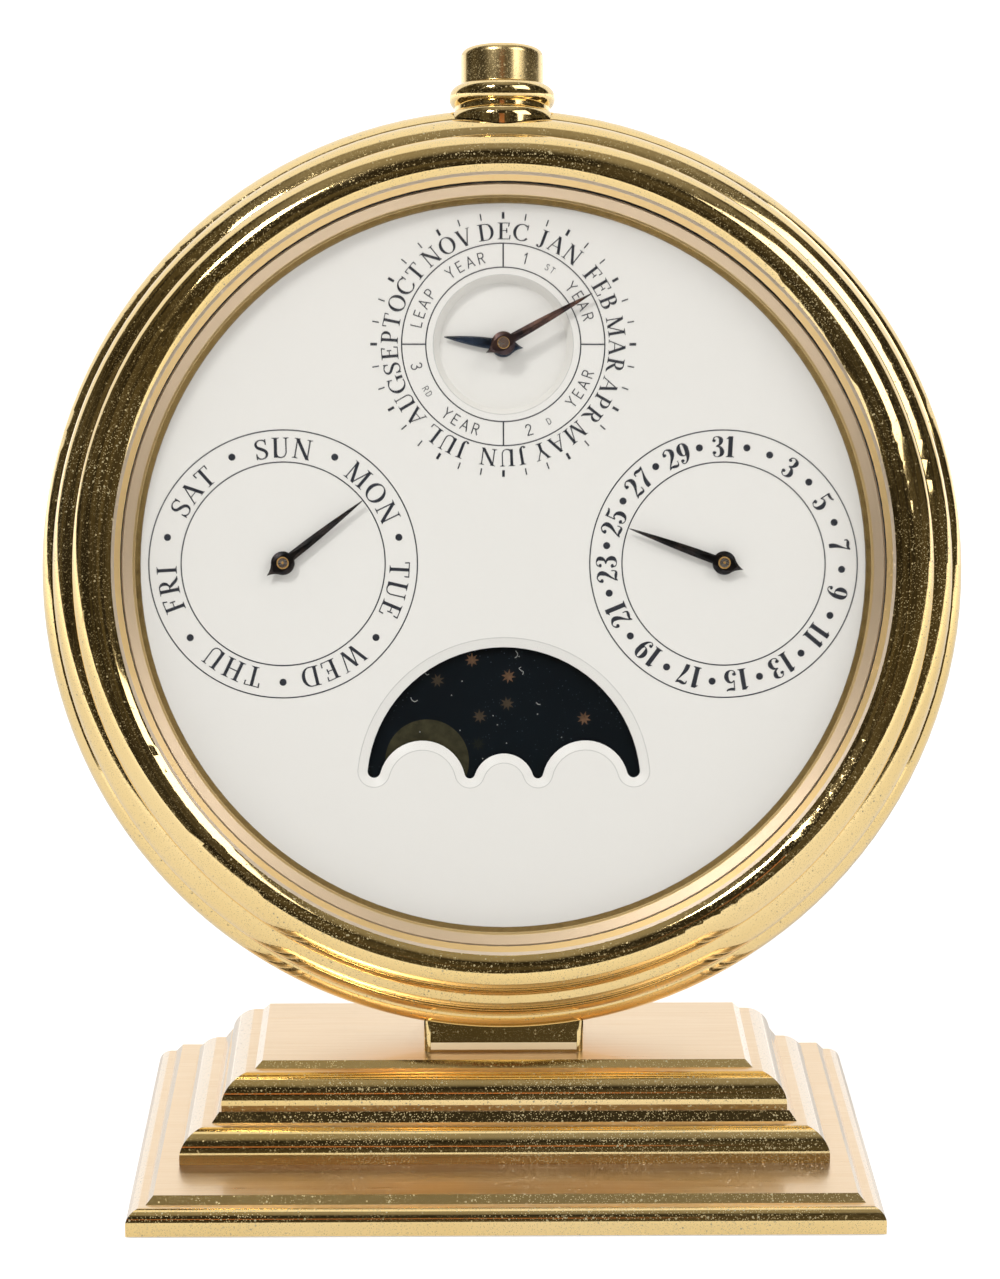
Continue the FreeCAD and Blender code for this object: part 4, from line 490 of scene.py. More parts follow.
# %% Satin brass, steel and rubber
def machined(name, colour, paler, roughness, metallic=1.0):
    metal = Finish(name, Metallic=metallic)
    grain = metal.noise(500.0, detail=3.0, rough=0.6, stretch=(1, 1, 6))
    metal.set("Base Color", metal.mix(metal.noise(40.0, detail=3.0), colour, paler))
    metal.set("Roughness", metal.ramp(grain, roughness * 0.8, roughness * 1.2, *WIDE))
    metal.bump(grain, strength=0.08, distance=0.02)
    return metal


FINISH_OF_SLOT = {
    "movement_brass": machined("machined_brass", (0.72, 0.53, 0.26), (0.80, 0.62, 0.34), 0.28),
    "steel": machined("ground_steel", (0.55, 0.56, 0.57), (0.66, 0.66, 0.66), 0.26),
    "spring_steel": machined("spring_steel", (0.20, 0.22, 0.27), (0.30, 0.31, 0.36), 0.3),
    "gasket": machined("black_gasket", (0.02, 0.02, 0.02), (0.035, 0.035, 0.035), 0.7, metallic=0.0),
}
machined_rows = [row for row in frame["record"]["subparts"] if row["material_slot"] in FINISH_OF_SLOT]
for row in machined_rows:
    dress(FINISH_OF_SLOT[row["material_slot"]], row["node"])
print(len(machined_rows), "solids in machined finishes")

# %% [markdown]
# ## Green felt under the base
#
# The pad is needle felt, so its surface is all short fibres: fine noise in the colour, a soft
# sheen and a rough, uneven height.

# %% Felt
FELT_DARK = (0.012, 0.05, 0.03)
FELT_LIGHT = (0.03, 0.11, 0.06)

felt = Finish("green_felt", Roughness=0.95, Sheen_Weight=0.4)
fibres = felt.noise(1400.0, detail=6.0, rough=0.7)
felt.set("Base Color", felt.mix(fibres, FELT_DARK, FELT_LIGHT))
felt.bump(fibres, strength=0.5, distance=0.15)
dress(felt, "foot_pad")
print("felt on the foot pad")

# %% [markdown]
# ## The dial
#
# The dial is a brass disc under many thin coats of off-white lacquer, rubbed flat. It is almost
# plain, but not a flat colour: the tone drifts a little, the coat has the faint pebble of
# lacquer, and a few specks lie on it. The year disc in the recess has the same coat. The coat
# keeps its own gloss layer, so the lights leave a soft shine on it.

# %% Dial lacquer
OFF_WHITE = (0.805, 0.785, 0.735)
OFF_WHITE_PALE = (0.835, 0.815, 0.765)
SPECK = (0.45, 0.42, 0.36)
SPECK_STRENGTH = 0.35
SPECK_SIZE = 0.035

lacquer = Finish("off_white_lacquer", Roughness=0.42, Coat_Weight=0.12, Coat_Roughness=0.12)
off_white = lacquer.mix(lacquer.noise(14.0, detail=2.0), OFF_WHITE, OFF_WHITE_PALE)
from_speck = lacquer.node("TexVoronoi", {"Vector": lacquer.place(), "Scale": 420.0}, out="Distance")
speck_mask = lacquer.ramp(from_speck, SPECK_STRENGTH, 0.0, 0.0, SPECK_SIZE)
lacquer.set("Base Color", lacquer.mix(speck_mask, off_white, SPECK))
pebble = lacquer.noise(900.0, detail=3.0)
lacquer.set("Roughness", lacquer.ramp(pebble, 0.36, 0.48, *WIDE))
lacquer.bump(pebble, strength=0.12, distance=0.01)
dress(lacquer, "dial", "year_disc")
print("lacquer on the dial and the year disc")

# %% [markdown]
# The bevels of the moon window and of the recess meet the flat dial in a crisp edge, where a
# fine line of shade falls. That shade is painted: the dial's own mesh says where, and along each
# of its edges that has the flat face on one side and a slope on the other, a thin grey line is laid.

# %% Painted shade lines along the bevels
EDGE_WIDTH = 0.09
EDGE_HEIGHT = 0.012
EDGE_SHADE_DARK = (0.50, 0.49, 0.46)
EDGE_SHADE_LIGHT = (0.62, 0.61, 0.57)
FLAT = 0.9995
SLOPE = 0.3
INNER_PART = 46.0
BOX_FACES = ((3, 2, 1, 0), (4, 5, 6, 7), (0, 1, 5, 4), (1, 2, 6, 5), (2, 3, 7, 6), (3, 0, 4, 7))

# painted shade: a thin grey line stands in for the shade along each bevel's edge
painted_edge_shade = Finish("painted_bevel_shade", Roughness=0.5)
painted_edge_shade.set("Base Color", painted_edge_shade.mix(painted_edge_shade.noise(500.0, detail=3.0), EDGE_SHADE_DARK, EDGE_SHADE_LIGHT))

dial_form = bmesh.new()
dial_form.from_mesh(nodes["dial"].data)
bmesh.ops.remove_doubles(dial_form, verts=dial_form.verts[:], dist=SAME_POINT)
dial_form.normal_update()
edge_verts, edge_faces = [], []
for form_edge in dial_form.edges:
    facing = sorted(face.normal.dot(OUT) for face in form_edge.link_faces)
    a, b = (on_dial(vertex.co) for vertex in form_edge.verts)
    if len(facing) != 2 or facing[1] < FLAT or not SLOPE < facing[0] < FLAT or a.xy.length > INNER_PART:
        continue
    side = Vector((a.y - b.y, b.x - a.x)).normalized() * EDGE_WIDTH / 2
    first = len(edge_verts)
    for level in (0.0, EDGE_HEIGHT):
        for point, way in ((a, side), (b, side), (b, -side), (a, -side)):
            edge_verts.append(spot(point.x + way.x, point.y + way.y, level))
    edge_faces += [[first + corner for corner in face] for face in BOX_FACES]
dial_form.free()
piece("bevel_shade_lines", edge_verts, edge_faces, painted_edge_shade, "stand")
print(len(edge_faces) // len(BOX_FACES), "short lines along the bevels")

# %% [markdown]
# ## Printing ink
#
# On the real dial the figures are pad-printed: a soft pad lifts blue-black ink from an etched
# plate and sets it down a few hundredths of a millimetre thick. Here each stroke is a thin
# closed solid on the dial, so the print is real geometry that keeps its edges at any distance.
# Strokes of one letter overlap, so each stands a hair higher than the one before it, and no two
# faces lie in the same plane.

# %% Ink and the thin solids it makes
INK = (0.012, 0.014, 0.022)
INK_PALE = (0.030, 0.033, 0.045)
INK_HEIGHT = 0.03
INK_STEP = 0.0008
INK_LEVELS = 8

ink = Finish("blue_black_ink", Roughness=0.5)
ink_cloud = ink.noise(700.0)
ink.set("Base Color", ink.mix(ink_cloud, INK, INK_PALE))
ink.set("Roughness", ink.ramp(ink_cloud, 0.42, 0.6))


def turned(points, angle, centre=(0, 0)):
    """Points turned clockwise by an angle in degrees, then moved to a centre."""
    c, s = math.cos(math.radians(angle)), math.sin(math.radians(angle))
    return [(centre[0] + (x * c + y * s), centre[1] + (y * c - x * s)) for x, y in points]


def area(outline):
    return sum(a[0] * b[1] - b[0] * a[1] for a, b in zip(outline, outline[1:] + outline[:1])) / 2


def printed(name, outlines, finish=ink, body="stand", level=0.0):
    """One piece from flat outlines in dial millimetres, each a thin closed solid."""
    verts, faces = [], []
    for index, outline in enumerate(outlines):
        if area(outline) < 0:
            outline = outline[::-1]
        top = level + INK_HEIGHT + INK_STEP * (index % INK_LEVELS)
        base, count = len(verts), len(outline)
        verts += [spot(x, y, level) for x, y in outline] + [spot(x, y, top) for x, y in outline]
        faces.append([base + i for i in reversed(range(count))])
        faces.append([base + count + i for i in range(count)])
        for i in range(count):
            j = (i + 1) % count
            faces.append([base + i, base + j, base + count + j, base + count + i])
    return piece(name, verts, faces, finish, body)


print("ink is", INK_HEIGHT, "mm thick")

# %% [markdown]
# Circles, ticks and dots are the simplest print. A circle's line is a narrow band, written as
# one closed solid: two rings of points on the dial and the same two rings a little higher.

# %% Circle lines, ticks and dots
def on_circle(radius, angle, centre):
    return turned([(0, radius)], angle, centre)[0]


def disc(centre, radius, sides=40):
    return [(centre[0] + radius * math.cos(2 * math.pi * i / sides),
             centre[1] + radius * math.sin(2 * math.pi * i / sides)) for i in range(sides)]


def bar(radius_low, radius_high, width, angle, centre):
    half = width / 2
    corners = [(-half, radius_low), (half, radius_low), (half, radius_high), (-half, radius_high)]
    return turned(corners, angle, centre)


def circle_line(name, centre, radius, width, sides=180):
    verts, faces = [], []
    edges = ((radius - width / 2, 0.0), (radius + width / 2, 0.0),
             (radius + width / 2, INK_HEIGHT), (radius - width / 2, INK_HEIGHT))
    for i in range(sides):
        for reach_out, lift in edges:
            x, y = on_circle(reach_out, 360.0 * i / sides, centre)
            verts.append(spot(x, y, lift))
    for i in range(sides):
        j = (i + 1) % sides
        for k in range(4):
            m = (k + 1) % 4
            faces.append([4 * i + k, 4 * i + m, 4 * j + m, 4 * j + k])
    return piece(name, verts, faces, ink, "stand")


# %% [markdown]
# The day and date circles have two lines each, the month circle has a ring for the years inside
# its words and ticks outside them. Every third tick is bold. The first date and the even ones
# are dots, and the others are figures.

# %% The marks of the three circles
LINE = 0.17
OUTER_LINE = 19.01
INNER_LINE = 14.44
YEAR_OUTER = 14.45
YEAR_INNER = 11.02
YEAR_MARK = 0.2
TICK_START = 17.95
TICK_END = 18.9
TICK_BOLD = 0.38
TICK_FINE = 0.18
TICKS = 36
DOT_CIRCLE = 16.8
DOT_RADIUS = 0.50
DAY_STEP = 360 / 7
DATE_STEP = 360 / 31
DOTTED_DATES = [1] + list(range(2, 31, 2))

for name in ("day", "date"):
    circle_line(name + "_outer_line", CENTRES[name], OUTER_LINE, LINE)
    circle_line(name + "_inner_line", CENTRES[name], INNER_LINE, LINE)
circle_line("year_outer_line", CENTRES["month"], YEAR_OUTER, LINE)
circle_line("year_inner_line", CENTRES["month"], YEAR_INNER, LINE)
printed("year_marks", [bar(YEAR_INNER, YEAR_OUTER, YEAR_MARK, angle, CENTRES["month"])
                       for angle in (0, 90, 180, 270)])
printed("month_ticks", [bar(TICK_START, TICK_END, TICK_FINE if step % 3 else TICK_BOLD,
                            360 // TICKS * step, CENTRES["month"]) for step in range(TICKS)])
printed("day_dots", [disc(on_circle(DOT_CIRCLE, DAY_STEP * (step + 0.5), CENTRES["day"]), DOT_RADIUS)
                     for step in range(7)])
printed("date_dots", [disc(on_circle(DOT_CIRCLE, DATE_STEP * date, CENTRES["date"]), DOT_RADIUS)
                      for date in DOTTED_DATES])
print("lines, ticks and", 7 + len(DOTTED_DATES), "dots printed")

# %% [markdown]
# ## Cutting the letters
#
# A font file would be the quick way, but this lesson cuts its own letters as a sign painter
# would: from stems, slanted strokes, serifs and ribbons. A ribbon follows a line of points with a
# pen that is wide at some points and narrow at others, which gives round letters their swell.
# Every letter is drawn one unit high, with its left edge at zero, and gives its own width.

# %% Strokes
THICK = 0.135
THIN = 0.052
SERIF = 0.095
SERIF_HEIGHT = 0.032
BRACKET = 0.055
RIBBON_STEPS = 5


def stem(x, width=THICK, low=0.0, high=1.0, foot=True, head=True, left=SERIF, right=SERIF):
    """An upright stroke about x with bracketed serifs at either end."""
    half = width / 2

    def serif_side(side, reach_out, at, way):
        edge, tip = x + side * half, x + side * (half + reach_out)
        return [(edge, at + way * (SERIF_HEIGHT + BRACKET)),
                (edge + side * 0.018, at + way * (SERIF_HEIGHT + BRACKET * 0.4)),
                (edge + side * 0.05, at + way * (SERIF_HEIGHT + 0.008)),
                (tip, at + way * SERIF_HEIGHT * 0.8), (tip, at)]

    points = []
    points += serif_side(1, right, low, 1)[::-1] if foot else [(x + half, low)]
    points += serif_side(1, right, high, -1) if head else [(x + half, high)]
    points += serif_side(-1, left, high, -1)[::-1] if head else [(x - half, high)]
    points += serif_side(-1, left, low, 1) if foot else [(x - half, low)]
    return points


def slant(x0, y0, x1, y1, width=THIN):
    half = width / 2
    return [(x0 - half, y0), (x0 + half, y0), (x1 + half, y1), (x1 - half, y1)]


def slab(x, y, left, right, height=SERIF_HEIGHT):
    """A serif bar: it stands on y when its height is positive and hangs from y otherwise."""
    return [(x - left, y), (x + right, y), (x + right, y + height), (x - left, y + height)]


def ball(x, y, radius):
    return disc((x, y), radius, 14)


# %% Ribbons
def smoothed(points):
    """A smooth run of points through the given ones, width included."""
    fine = []
    for i in range(len(points) - 1):
        before, beyond = points[max(i - 1, 0)], points[min(i + 2, len(points) - 1)]
        for k in range(RIBBON_STEPS):
            u = k / float(RIBBON_STEPS)
            fine.append([0.5 * (2 * b + (c - a) * u + (2 * a - 5 * b + 4 * c - d) * u * u
                                + (3 * b - a - 3 * c + d) * u ** 3)
                         for a, b, c, d in zip(before, points[i], points[i + 1], beyond)])
    return fine + [list(points[-1])]


def ribbon(points):
    """A pen stroke through (x, y, width) points, with its two edges as one outline."""
    fine = smoothed(points)
    left, right = [], []
    for i, (x, y, width) in enumerate(fine):
        ax, ay = fine[max(i - 1, 0)][:2]
        bx, by = fine[min(i + 1, len(fine) - 1)][:2]
        length = math.hypot(bx - ax, by - ay) or 1.0
        nx, ny = -(by - ay) / length, (bx - ax) / length
        left.append((x + nx * width / 2, y + ny * width / 2))
        right.append((x - nx * width / 2, y - ny * width / 2))
    return left + right[::-1]


def arc(cx, cy, rx, ry, start, end, thick=THICK, thin=THIN, steps=9):
    """Ribbon points along an ellipse, in clock angles. The pen is widest at three and nine."""
    points = []
    for i in range(steps + 1):
        angle = math.radians(start + (end - start) * i / steps)
        swell = abs(math.sin(angle)) ** 1.6
        points.append((cx + rx * math.sin(angle), cy + ry * math.cos(angle), thin + (thick - thin) * swell))
    return points


# %% [markdown]
# The capitals of the day and month circles are an old-style roman with strong thick and thin
# strokes. Only the letters that the dial needs are cut. The round ones have helpers of their own.

# %% Round roman capitals
def letter_s(wide=0.52):
    pen = [(0.93, 0.80, THIN), (0.80, 0.925, THIN * 1.3), (0.50, 0.975, THIN * 1.1),
           (0.22, 0.90, THICK * 0.62), (0.13, 0.75, THICK * 0.80), (0.24, 0.62, THICK * 0.95),
           (0.50, 0.52, THICK * 1.1), (0.78, 0.40, THICK * 1.0), (0.89, 0.25, THICK * 0.85),
           (0.78, 0.09, THICK * 0.6), (0.50, 0.025, THIN * 1.1), (0.22, 0.075, THIN * 1.3),
           (0.08, 0.22, THIN)]
    return [ribbon([(x * wide, y, w) for x, y, w in pen]),
            slant(0.90 * wide, 0.70, 0.93 * wide, 0.985), slant(0.07 * wide, 0.015, 0.09 * wide, 0.31)]


def letter_c(wide=0.70):
    round_part = arc(wide * 0.56, 0.5, wide * 0.50, 0.487, 40, -230, THICK * 1.05, THIN * 1.1, 14)
    return [ribbon(round_part), slant(wide * 0.90, 0.68, wide * 0.935, 0.985)]


def letter_g(wide=0.76):
    round_part = arc(wide * 0.54, 0.5, wide * 0.48, 0.487, 40, -200, THICK * 1.05, THIN * 1.1, 13)
    return [ribbon(round_part), slant(wide * 0.87, 0.68, wide * 0.905, 0.985),
            stem(wide * 0.90, THICK, 0.02, 0.42, foot=False, head=True)]


def letter_o():
    return [ribbon(arc(0.39, 0.5, 0.32, 0.487, 0, way * 180, THICK * 1.08, THIN, 12)) for way in (-1, 1)]


def bowl(left, low, high, reach_out, thick=THICK):
    """The round part of D, B, P or R: out from the stem, round, and back to it."""
    centre_up, half = (low + high) / 2, (high - low) / 2 - THIN / 2
    turn = min(reach_out * 0.62, half * 1.1)
    centre = left + reach_out - turn
    curve = arc(centre, centre_up, turn - thick / 2, half, 0, 180, thick, THIN, 10)
    return ribbon([(left, high - THIN / 2, THIN)] + curve + [(left, low + THIN / 2, THIN)])


# %% All roman capitals
def roman(letter):
    """The strokes of a capital, one unit high, and its width."""
    if letter == "S":
        return letter_s(), 0.53
    if letter == "C":
        return letter_c(), 0.70
    if letter == "G":
        return letter_g(), 0.80
    if letter == "O":
        return letter_o(), 0.78
    if letter == "I":
        return [stem(0.17)], 0.34
    if letter == "T":
        return [stem(0.32, head=False), slab(0.32, 1.0, 0.31, 0.31, -THIN * 0.9),
                slant(0.035, 0.76, 0.02, 1.0), slant(0.605, 0.76, 0.62, 1.0)], 0.64
    if letter == "L":
        return [stem(0.17, right=0.06), slab(0.17, 0.0, 0, 0.42, THIN * 0.9),
                slant(0.575, 0.0, 0.60, 0.25)], 0.61
    if letter in "EF":
        strokes = [stem(0.17, right=0.06), slab(0.17, 1.0, 0, 0.385, -THIN * 0.9),
                   slab(0.17, 0.50, 0, 0.27, THIN * 0.9), slant(0.44, 0.39, 0.44, 0.66),
                   slant(0.53, 0.77, 0.56, 1.0)]
        if letter == "F":
            return strokes, 0.58
        return strokes + [slab(0.17, 0.0, 0, 0.42, THIN * 0.9), slant(0.575, 0.0, 0.60, 0.25)], 0.62
    if letter == "H":
        return [stem(0.17), stem(0.63), slab(0.17, 0.49, 0, 0.46, THIN)], 0.80
    if letter == "D":
        return [stem(0.17, right=0.04), bowl(0.17, 0, 1, 0.585, THICK * 1.05)], 0.78
    if letter == "P":
        return [stem(0.17, right=0.07), bowl(0.17, 0.43, 1, 0.41)], 0.60
    if letter == "B":
        return [stem(0.17, right=0.04), bowl(0.17, 0.50, 1, 0.36), bowl(0.17, 0, 0.545, 0.42)], 0.64
    if letter == "R":
        leg = [(0.32, 0.47, THICK * 0.8), (0.44, 0.27, THICK), (0.58, 0.07, THICK * 0.9),
               (0.69, 0.02, THIN), (0.73, 0.03, THIN * 0.6)]
        return [stem(0.17, right=0.07), bowl(0.17, 0.45, 1, 0.39), ribbon(leg)], 0.70
    if letter == "U":
        cup = [(0.16, 0.34, THICK), (0.165, 0.20, THICK * 0.95), (0.23, 0.06, THICK * 0.65),
               (0.385, 0.005, THIN * 1.1), (0.53, 0.07, THIN), (0.60, 0.24, THIN)]
        return [stem(0.16, foot=False), stem(0.60, THIN, 0.24, foot=False), ribbon(cup)], 0.72
    if letter == "J":
        hook = [(0.26, 0.20, THICK), (0.245, 0.04, THICK * 0.8), (0.17, -0.07, THIN * 1.2),
                (0.075, -0.06, THIN)]
        return [stem(0.26, low=0.16, foot=False), ribbon(hook), ball(0.075, -0.015, 0.062)], 0.42
    if letter == "N":
        return [stem(0.13, THIN), stem(0.66, THIN, foot=False),
                slant(0.665, -0.015, 0.12, 1.0, THICK * 1.15),
                slab(0.06, 1.0, 0.06, 0.06, -SERIF_HEIGHT)], 0.78
    if letter == "M":
        return [stem(0.13, THIN, head=False), stem(0.80, THICK * 0.95),
                slant(0.46, 0.0, 0.13, 1.0, THICK), slant(0.46, 0.0, 0.79, 1.0),
                slab(0.13, 1.0, 0.11, 0.05, -SERIF_HEIGHT)], 0.96
    if letter == "A":
        return [slant(0.06, 0.02, 0.355, 1.0), slant(0.63, 0.02, 0.345, 1.0, THICK * 1.05),
                slab(0.30, 0.33, 0.16, 0.22, THIN * 0.9), slab(0.07, 0.0, 0.09, 0.10),
                slab(0.62, 0.0, 0.12, 0.11)], 0.70
    if letter == "V":
        return [slant(0.345, -0.01, 0.08, 0.98, THICK * 1.05), slant(0.345, 0.0, 0.62, 0.98),
                slab(0.08, 1.0, 0.11, 0.12, -SERIF_HEIGHT),
                slab(0.62, 1.0, 0.10, 0.09, -SERIF_HEIGHT)], 0.68
    if letter == "Y":
        return [stem(0.34, high=0.46, head=False), slant(0.34, 0.44, 0.09, 0.98, THICK),
                slant(0.36, 0.44, 0.60, 0.98), slab(0.09, 1.0, 0.11, 0.12, -SERIF_HEIGHT),
                slab(0.60, 1.0, 0.10, 0.09, -SERIF_HEIGHT)], 0.68
    if letter == "W":
        return [slant(0.33, -0.01, 0.08, 0.98, THICK), slant(0.33, 0.0, 0.52, 0.98),
                slant(0.76, -0.01, 0.52, 0.98, THICK), slant(0.76, 0.0, 1.00, 0.98),
                slab(0.08, 1.0, 0.11, 0.12, -SERIF_HEIGHT),
                slab(1.00, 1.0, 0.10, 0.09, -SERIF_HEIGHT)], 1.06
    raise ValueError(letter)


# %% [markdown]
# The date figures are tall, narrow and bold, with hairlines between heavy swells. The odd dates
# need only six of them.

# %% Date figures
FAT = 0.17
FINE = 0.04


def figure(digit):
    """The strokes of a figure, one unit high, and its width."""
    if digit == "1":
        return [stem(0.17, FAT, left=0.07, right=0.07, head=False),
                slant(0.045, 0.86, 0.16, 0.995, 0.10)], 0.33
    if digit == "2":
        back = [(0.075, 0.76, FAT * 0.6), (0.09, 0.88, FINE * 1.6), (0.22, 0.975, FINE * 1.2),
                (0.36, 0.87, FAT * 0.75), (0.385, 0.72, FAT), (0.33, 0.53, FAT * 0.8),
                (0.19, 0.30, FINE * 1.8), (0.07, 0.09, FINE)]
        foot = [(0.05, 0.02, FINE), (0.13, 0.10, FINE * 2), (0.25, 0.085, FAT * 0.8),
                (0.37, 0.055, FAT * 0.65), (0.435, 0.13, FINE), (0.445, 0.27, FINE)]
        return [ribbon(back), ball(0.095, 0.76, 0.075), ribbon(foot)], 0.48
    if digit == "3":
        upper = [(0.07, 0.80, FINE), (0.10, 0.92, FINE * 1.2), (0.21, 0.98, FINE),
                 (0.345, 0.90, FAT * 0.75), (0.365, 0.76, FAT * 0.95), (0.31, 0.60, FAT * 0.55),
                 (0.17, 0.525, FINE)]
        lower = [(0.17, 0.525, FINE), (0.32, 0.47, FAT * 0.6), (0.385, 0.28, FAT),
                 (0.35, 0.11, FAT * 0.8), (0.21, 0.02, FINE), (0.09, 0.08, FINE * 1.2),
                 (0.06, 0.22, FINE)]
        return [ribbon(upper), ribbon(lower), ball(0.10, 0.79, 0.07), ball(0.095, 0.22, 0.075)], 0.47
    if digit == "5":
        flag = [(0.085, 0.93, FAT * 0.75), (0.22, 0.91, FAT * 0.75), (0.345, 0.94, FAT * 0.5),
                (0.40, 1.0, FINE)]
        belly = [(0.105, 0.50, FINE), (0.20, 0.60, FINE * 1.6), (0.33, 0.53, FAT * 0.75),
                 (0.39, 0.33, FAT), (0.345, 0.12, FAT * 0.75), (0.21, 0.02, FINE),
                 (0.09, 0.08, FINE * 1.2), (0.06, 0.22, FINE)]
        return [slant(0.105, 0.50, 0.105, 0.985, FINE), ribbon(flag), ribbon(belly),
                ball(0.095, 0.21, 0.075)], 0.47
    if digit == "7":
        flag = [(0.045, 0.78, FINE), (0.055, 0.90, FINE * 1.6), (0.16, 0.93, FAT * 0.85),
                (0.30, 0.90, FAT * 0.75), (0.43, 0.985, FINE)]
        leg = [(0.42, 0.97, FINE), (0.33, 0.70, FINE * 1.4), (0.22, 0.38, FAT * 0.8), (0.185, 0.16, FAT),
               (0.185, 0.015, FAT * 0.85)]
        return [ribbon(flag), ribbon(leg)], 0.45
    if digit == "9":
        head = [ribbon(arc(0.235, 0.68, 0.145, 0.295, 0, way * 180, FAT, FINE, 9)) for way in (-1, 1)]
        tail = [(0.385, 0.64, FAT * 0.9), (0.37, 0.40, FAT * 0.85), (0.30, 0.16, FAT * 0.5),
                (0.19, 0.03, FINE), (0.09, 0.07, FINE * 1.2), (0.075, 0.19, FINE)]
        return head + [ribbon(tail), ball(0.11, 0.18, 0.07)], 0.48
    raise ValueError(digit)


# %% [markdown]
# The year ring is lettered in a thin sans serif of one stroke width, drawn as a draughtsman's pen
# would: straight and round strokes with nothing at their ends.

# %% Plain thin letters
PEN = 0.10


def line(*points):
    """Straight pen strokes through the points, each its own outline."""
    strokes = []
    for (x0, y0), (x1, y1) in zip(points, points[1:]):
        length = math.hypot(x1 - x0, y1 - y0)
        dx, dy = (x1 - x0) / length * PEN / 2, (y1 - y0) / length * PEN / 2
        strokes.append([(x0 - dx + dy, y0 - dy - dx), (x1 + dx + dy, y1 + dy - dx),
                        (x1 + dx - dy, y1 + dy + dx), (x0 - dx - dy, y0 - dy + dx)])
    return strokes


def curve(*points):
    return [ribbon([(x, y, PEN) for x, y in points])]


PLAIN = {
    "Y": (line((0.03, 1), (0.33, 0.48), (0.63, 1)) + line((0.33, 0.48), (0.33, 0)), 0.66),
    "E": (line((0.5, 1), (0.06, 1), (0.06, 0), (0.52, 0)) + line((0.06, 0.52), (0.44, 0.52)), 0.56),
    "A": (line((0.03, 0), (0.36, 1), (0.69, 0)) + line((0.14, 0.32), (0.58, 0.32)), 0.72),
    "R": (line((0.06, 0), (0.06, 1), (0.30, 1)) + line((0.30, 0.50), (0.06, 0.50))
          + curve((0.28, 1), (0.44, 0.97), (0.54, 0.86), (0.54, 0.65), (0.44, 0.53), (0.28, 0.50))
          + line((0.32, 0.50), (0.56, 0)), 0.62),
    "L": (line((0.06, 1), (0.06, 0), (0.48, 0)), 0.52),
    "P": (line((0.06, 0), (0.06, 1), (0.30, 1)) + line((0.30, 0.46), (0.06, 0.46))
          + curve((0.28, 1), (0.44, 0.97), (0.54, 0.85), (0.54, 0.62), (0.44, 0.49), (0.28, 0.46)), 0.60),
    "S": (curve((0.52, 0.84), (0.42, 0.97), (0.26, 1), (0.10, 0.92), (0.07, 0.74), (0.18, 0.59),
                (0.38, 0.49), (0.52, 0.36), (0.52, 0.15), (0.40, 0.02), (0.22, 0), (0.08, 0.08),
                (0.03, 0.20)), 0.60),
    "T": (line((0.02, 1), (0.56, 1)) + line((0.29, 1), (0.29, 0)), 0.58),
    "D": (line((0.06, 0), (0.06, 1), (0.24, 1)) + line((0.24, 0), (0.06, 0))
          + curve((0.22, 1), (0.42, 0.96), (0.57, 0.80), (0.60, 0.5), (0.57, 0.20), (0.42, 0.04),
                  (0.22, 0)), 0.66),
    "1": (line((0.05, 0.80), (0.22, 1), (0.22, 0)), 0.30),
    "2": (curve((0.05, 0.74), (0.09, 0.91), (0.26, 1), (0.45, 0.93), (0.51, 0.76), (0.44, 0.56),
                (0.24, 0.31), (0.05, 0.03)) + line((0.05, 0), (0.54, 0)), 0.58),
    "3": (curve((0.06, 0.82), (0.14, 0.96), (0.30, 1), (0.47, 0.91), (0.49, 0.72), (0.38, 0.56),
                (0.24, 0.53))
          + curve((0.24, 0.53), (0.42, 0.49), (0.54, 0.33), (0.50, 0.12), (0.33, 0), (0.14, 0.03),
                  (0.04, 0.18)), 0.60),
}
print(len(PLAIN), "plain letters and figures cut")

# %% [markdown]
# ## Setting words round a circle
#
# Each letter stands upright on the circle at its own place: the word's width is measured first,
# then each letter is turned by the angle of its middle. Tops point outward, except in the lower
# half of the year ring, where the words are set the other way up so that they read level.

# %% Words on a circle
LETTER_MIDDLE = 0.3


def word_on_circle(word, alphabet, centre, angle, radius, height, gap, stretch=1.0, inward=False):
    """Outlines of a word whose middle stands at a clock angle, its baseline on the circle."""
    cut = [alphabet(letter) for letter in word]
    total = sum(width for strokes, width in cut) * stretch + gap * (len(cut) - 1)
    outlines, along = [], -total / 2
    way = -1 if inward else 1
    for strokes, width in cut:
        off_middle = (along + width * stretch / 2) * height
        turn = angle + way * math.degrees(off_middle / (radius + way * height * LETTER_MIDDLE))
        for stroke in strokes:
            flat = [((x - width / 2) * stretch * height, y * height) for x, y in stroke]
            outlines.append(turned([(way * x, radius + way * y) for x, y in flat], turn, centre))
        along += width * stretch + gap
    return outlines


# %% Days, months and dates
DAY_NAMES = ("SUN", "MON", "TUE", "WED", "THU", "FRI", "SAT")
MONTH_NAMES = ("DEC", "JAN", "FEB", "MAR", "APR", "MAY", "JUN", "JUL", "AUG", "SEPT", "OCT", "NOV")
DAY_SIZE = {"radius": 15.08, "height": 2.84, "gap": 0.17, "stretch": 1.2}
MONTH_SIZE = {"radius": 15.0, "height": 2.4, "gap": 0.17, "stretch": 1.25}
DATE_SIZE = {"radius": 15.15, "height": 3.0, "gap": 0.07, "stretch": 1.25}

days, months, dates = [], [], []
for step, name in enumerate(DAY_NAMES):
    days += word_on_circle(name, roman, CENTRES["day"], DAY_STEP * step, **DAY_SIZE)
for step, name in enumerate(MONTH_NAMES):
    months += word_on_circle(name, roman, CENTRES["month"], 30 * step, **MONTH_SIZE)
for number in range(3, 32, 2):
    dates += word_on_circle(str(number), figure, CENTRES["date"], DATE_STEP * number, **DATE_SIZE)
printed("day_names", days)
printed("month_names", months)
printed("date_numbers", dates)
print(len(days), "strokes of days,", len(months), "of months,", len(dates), "of dates")

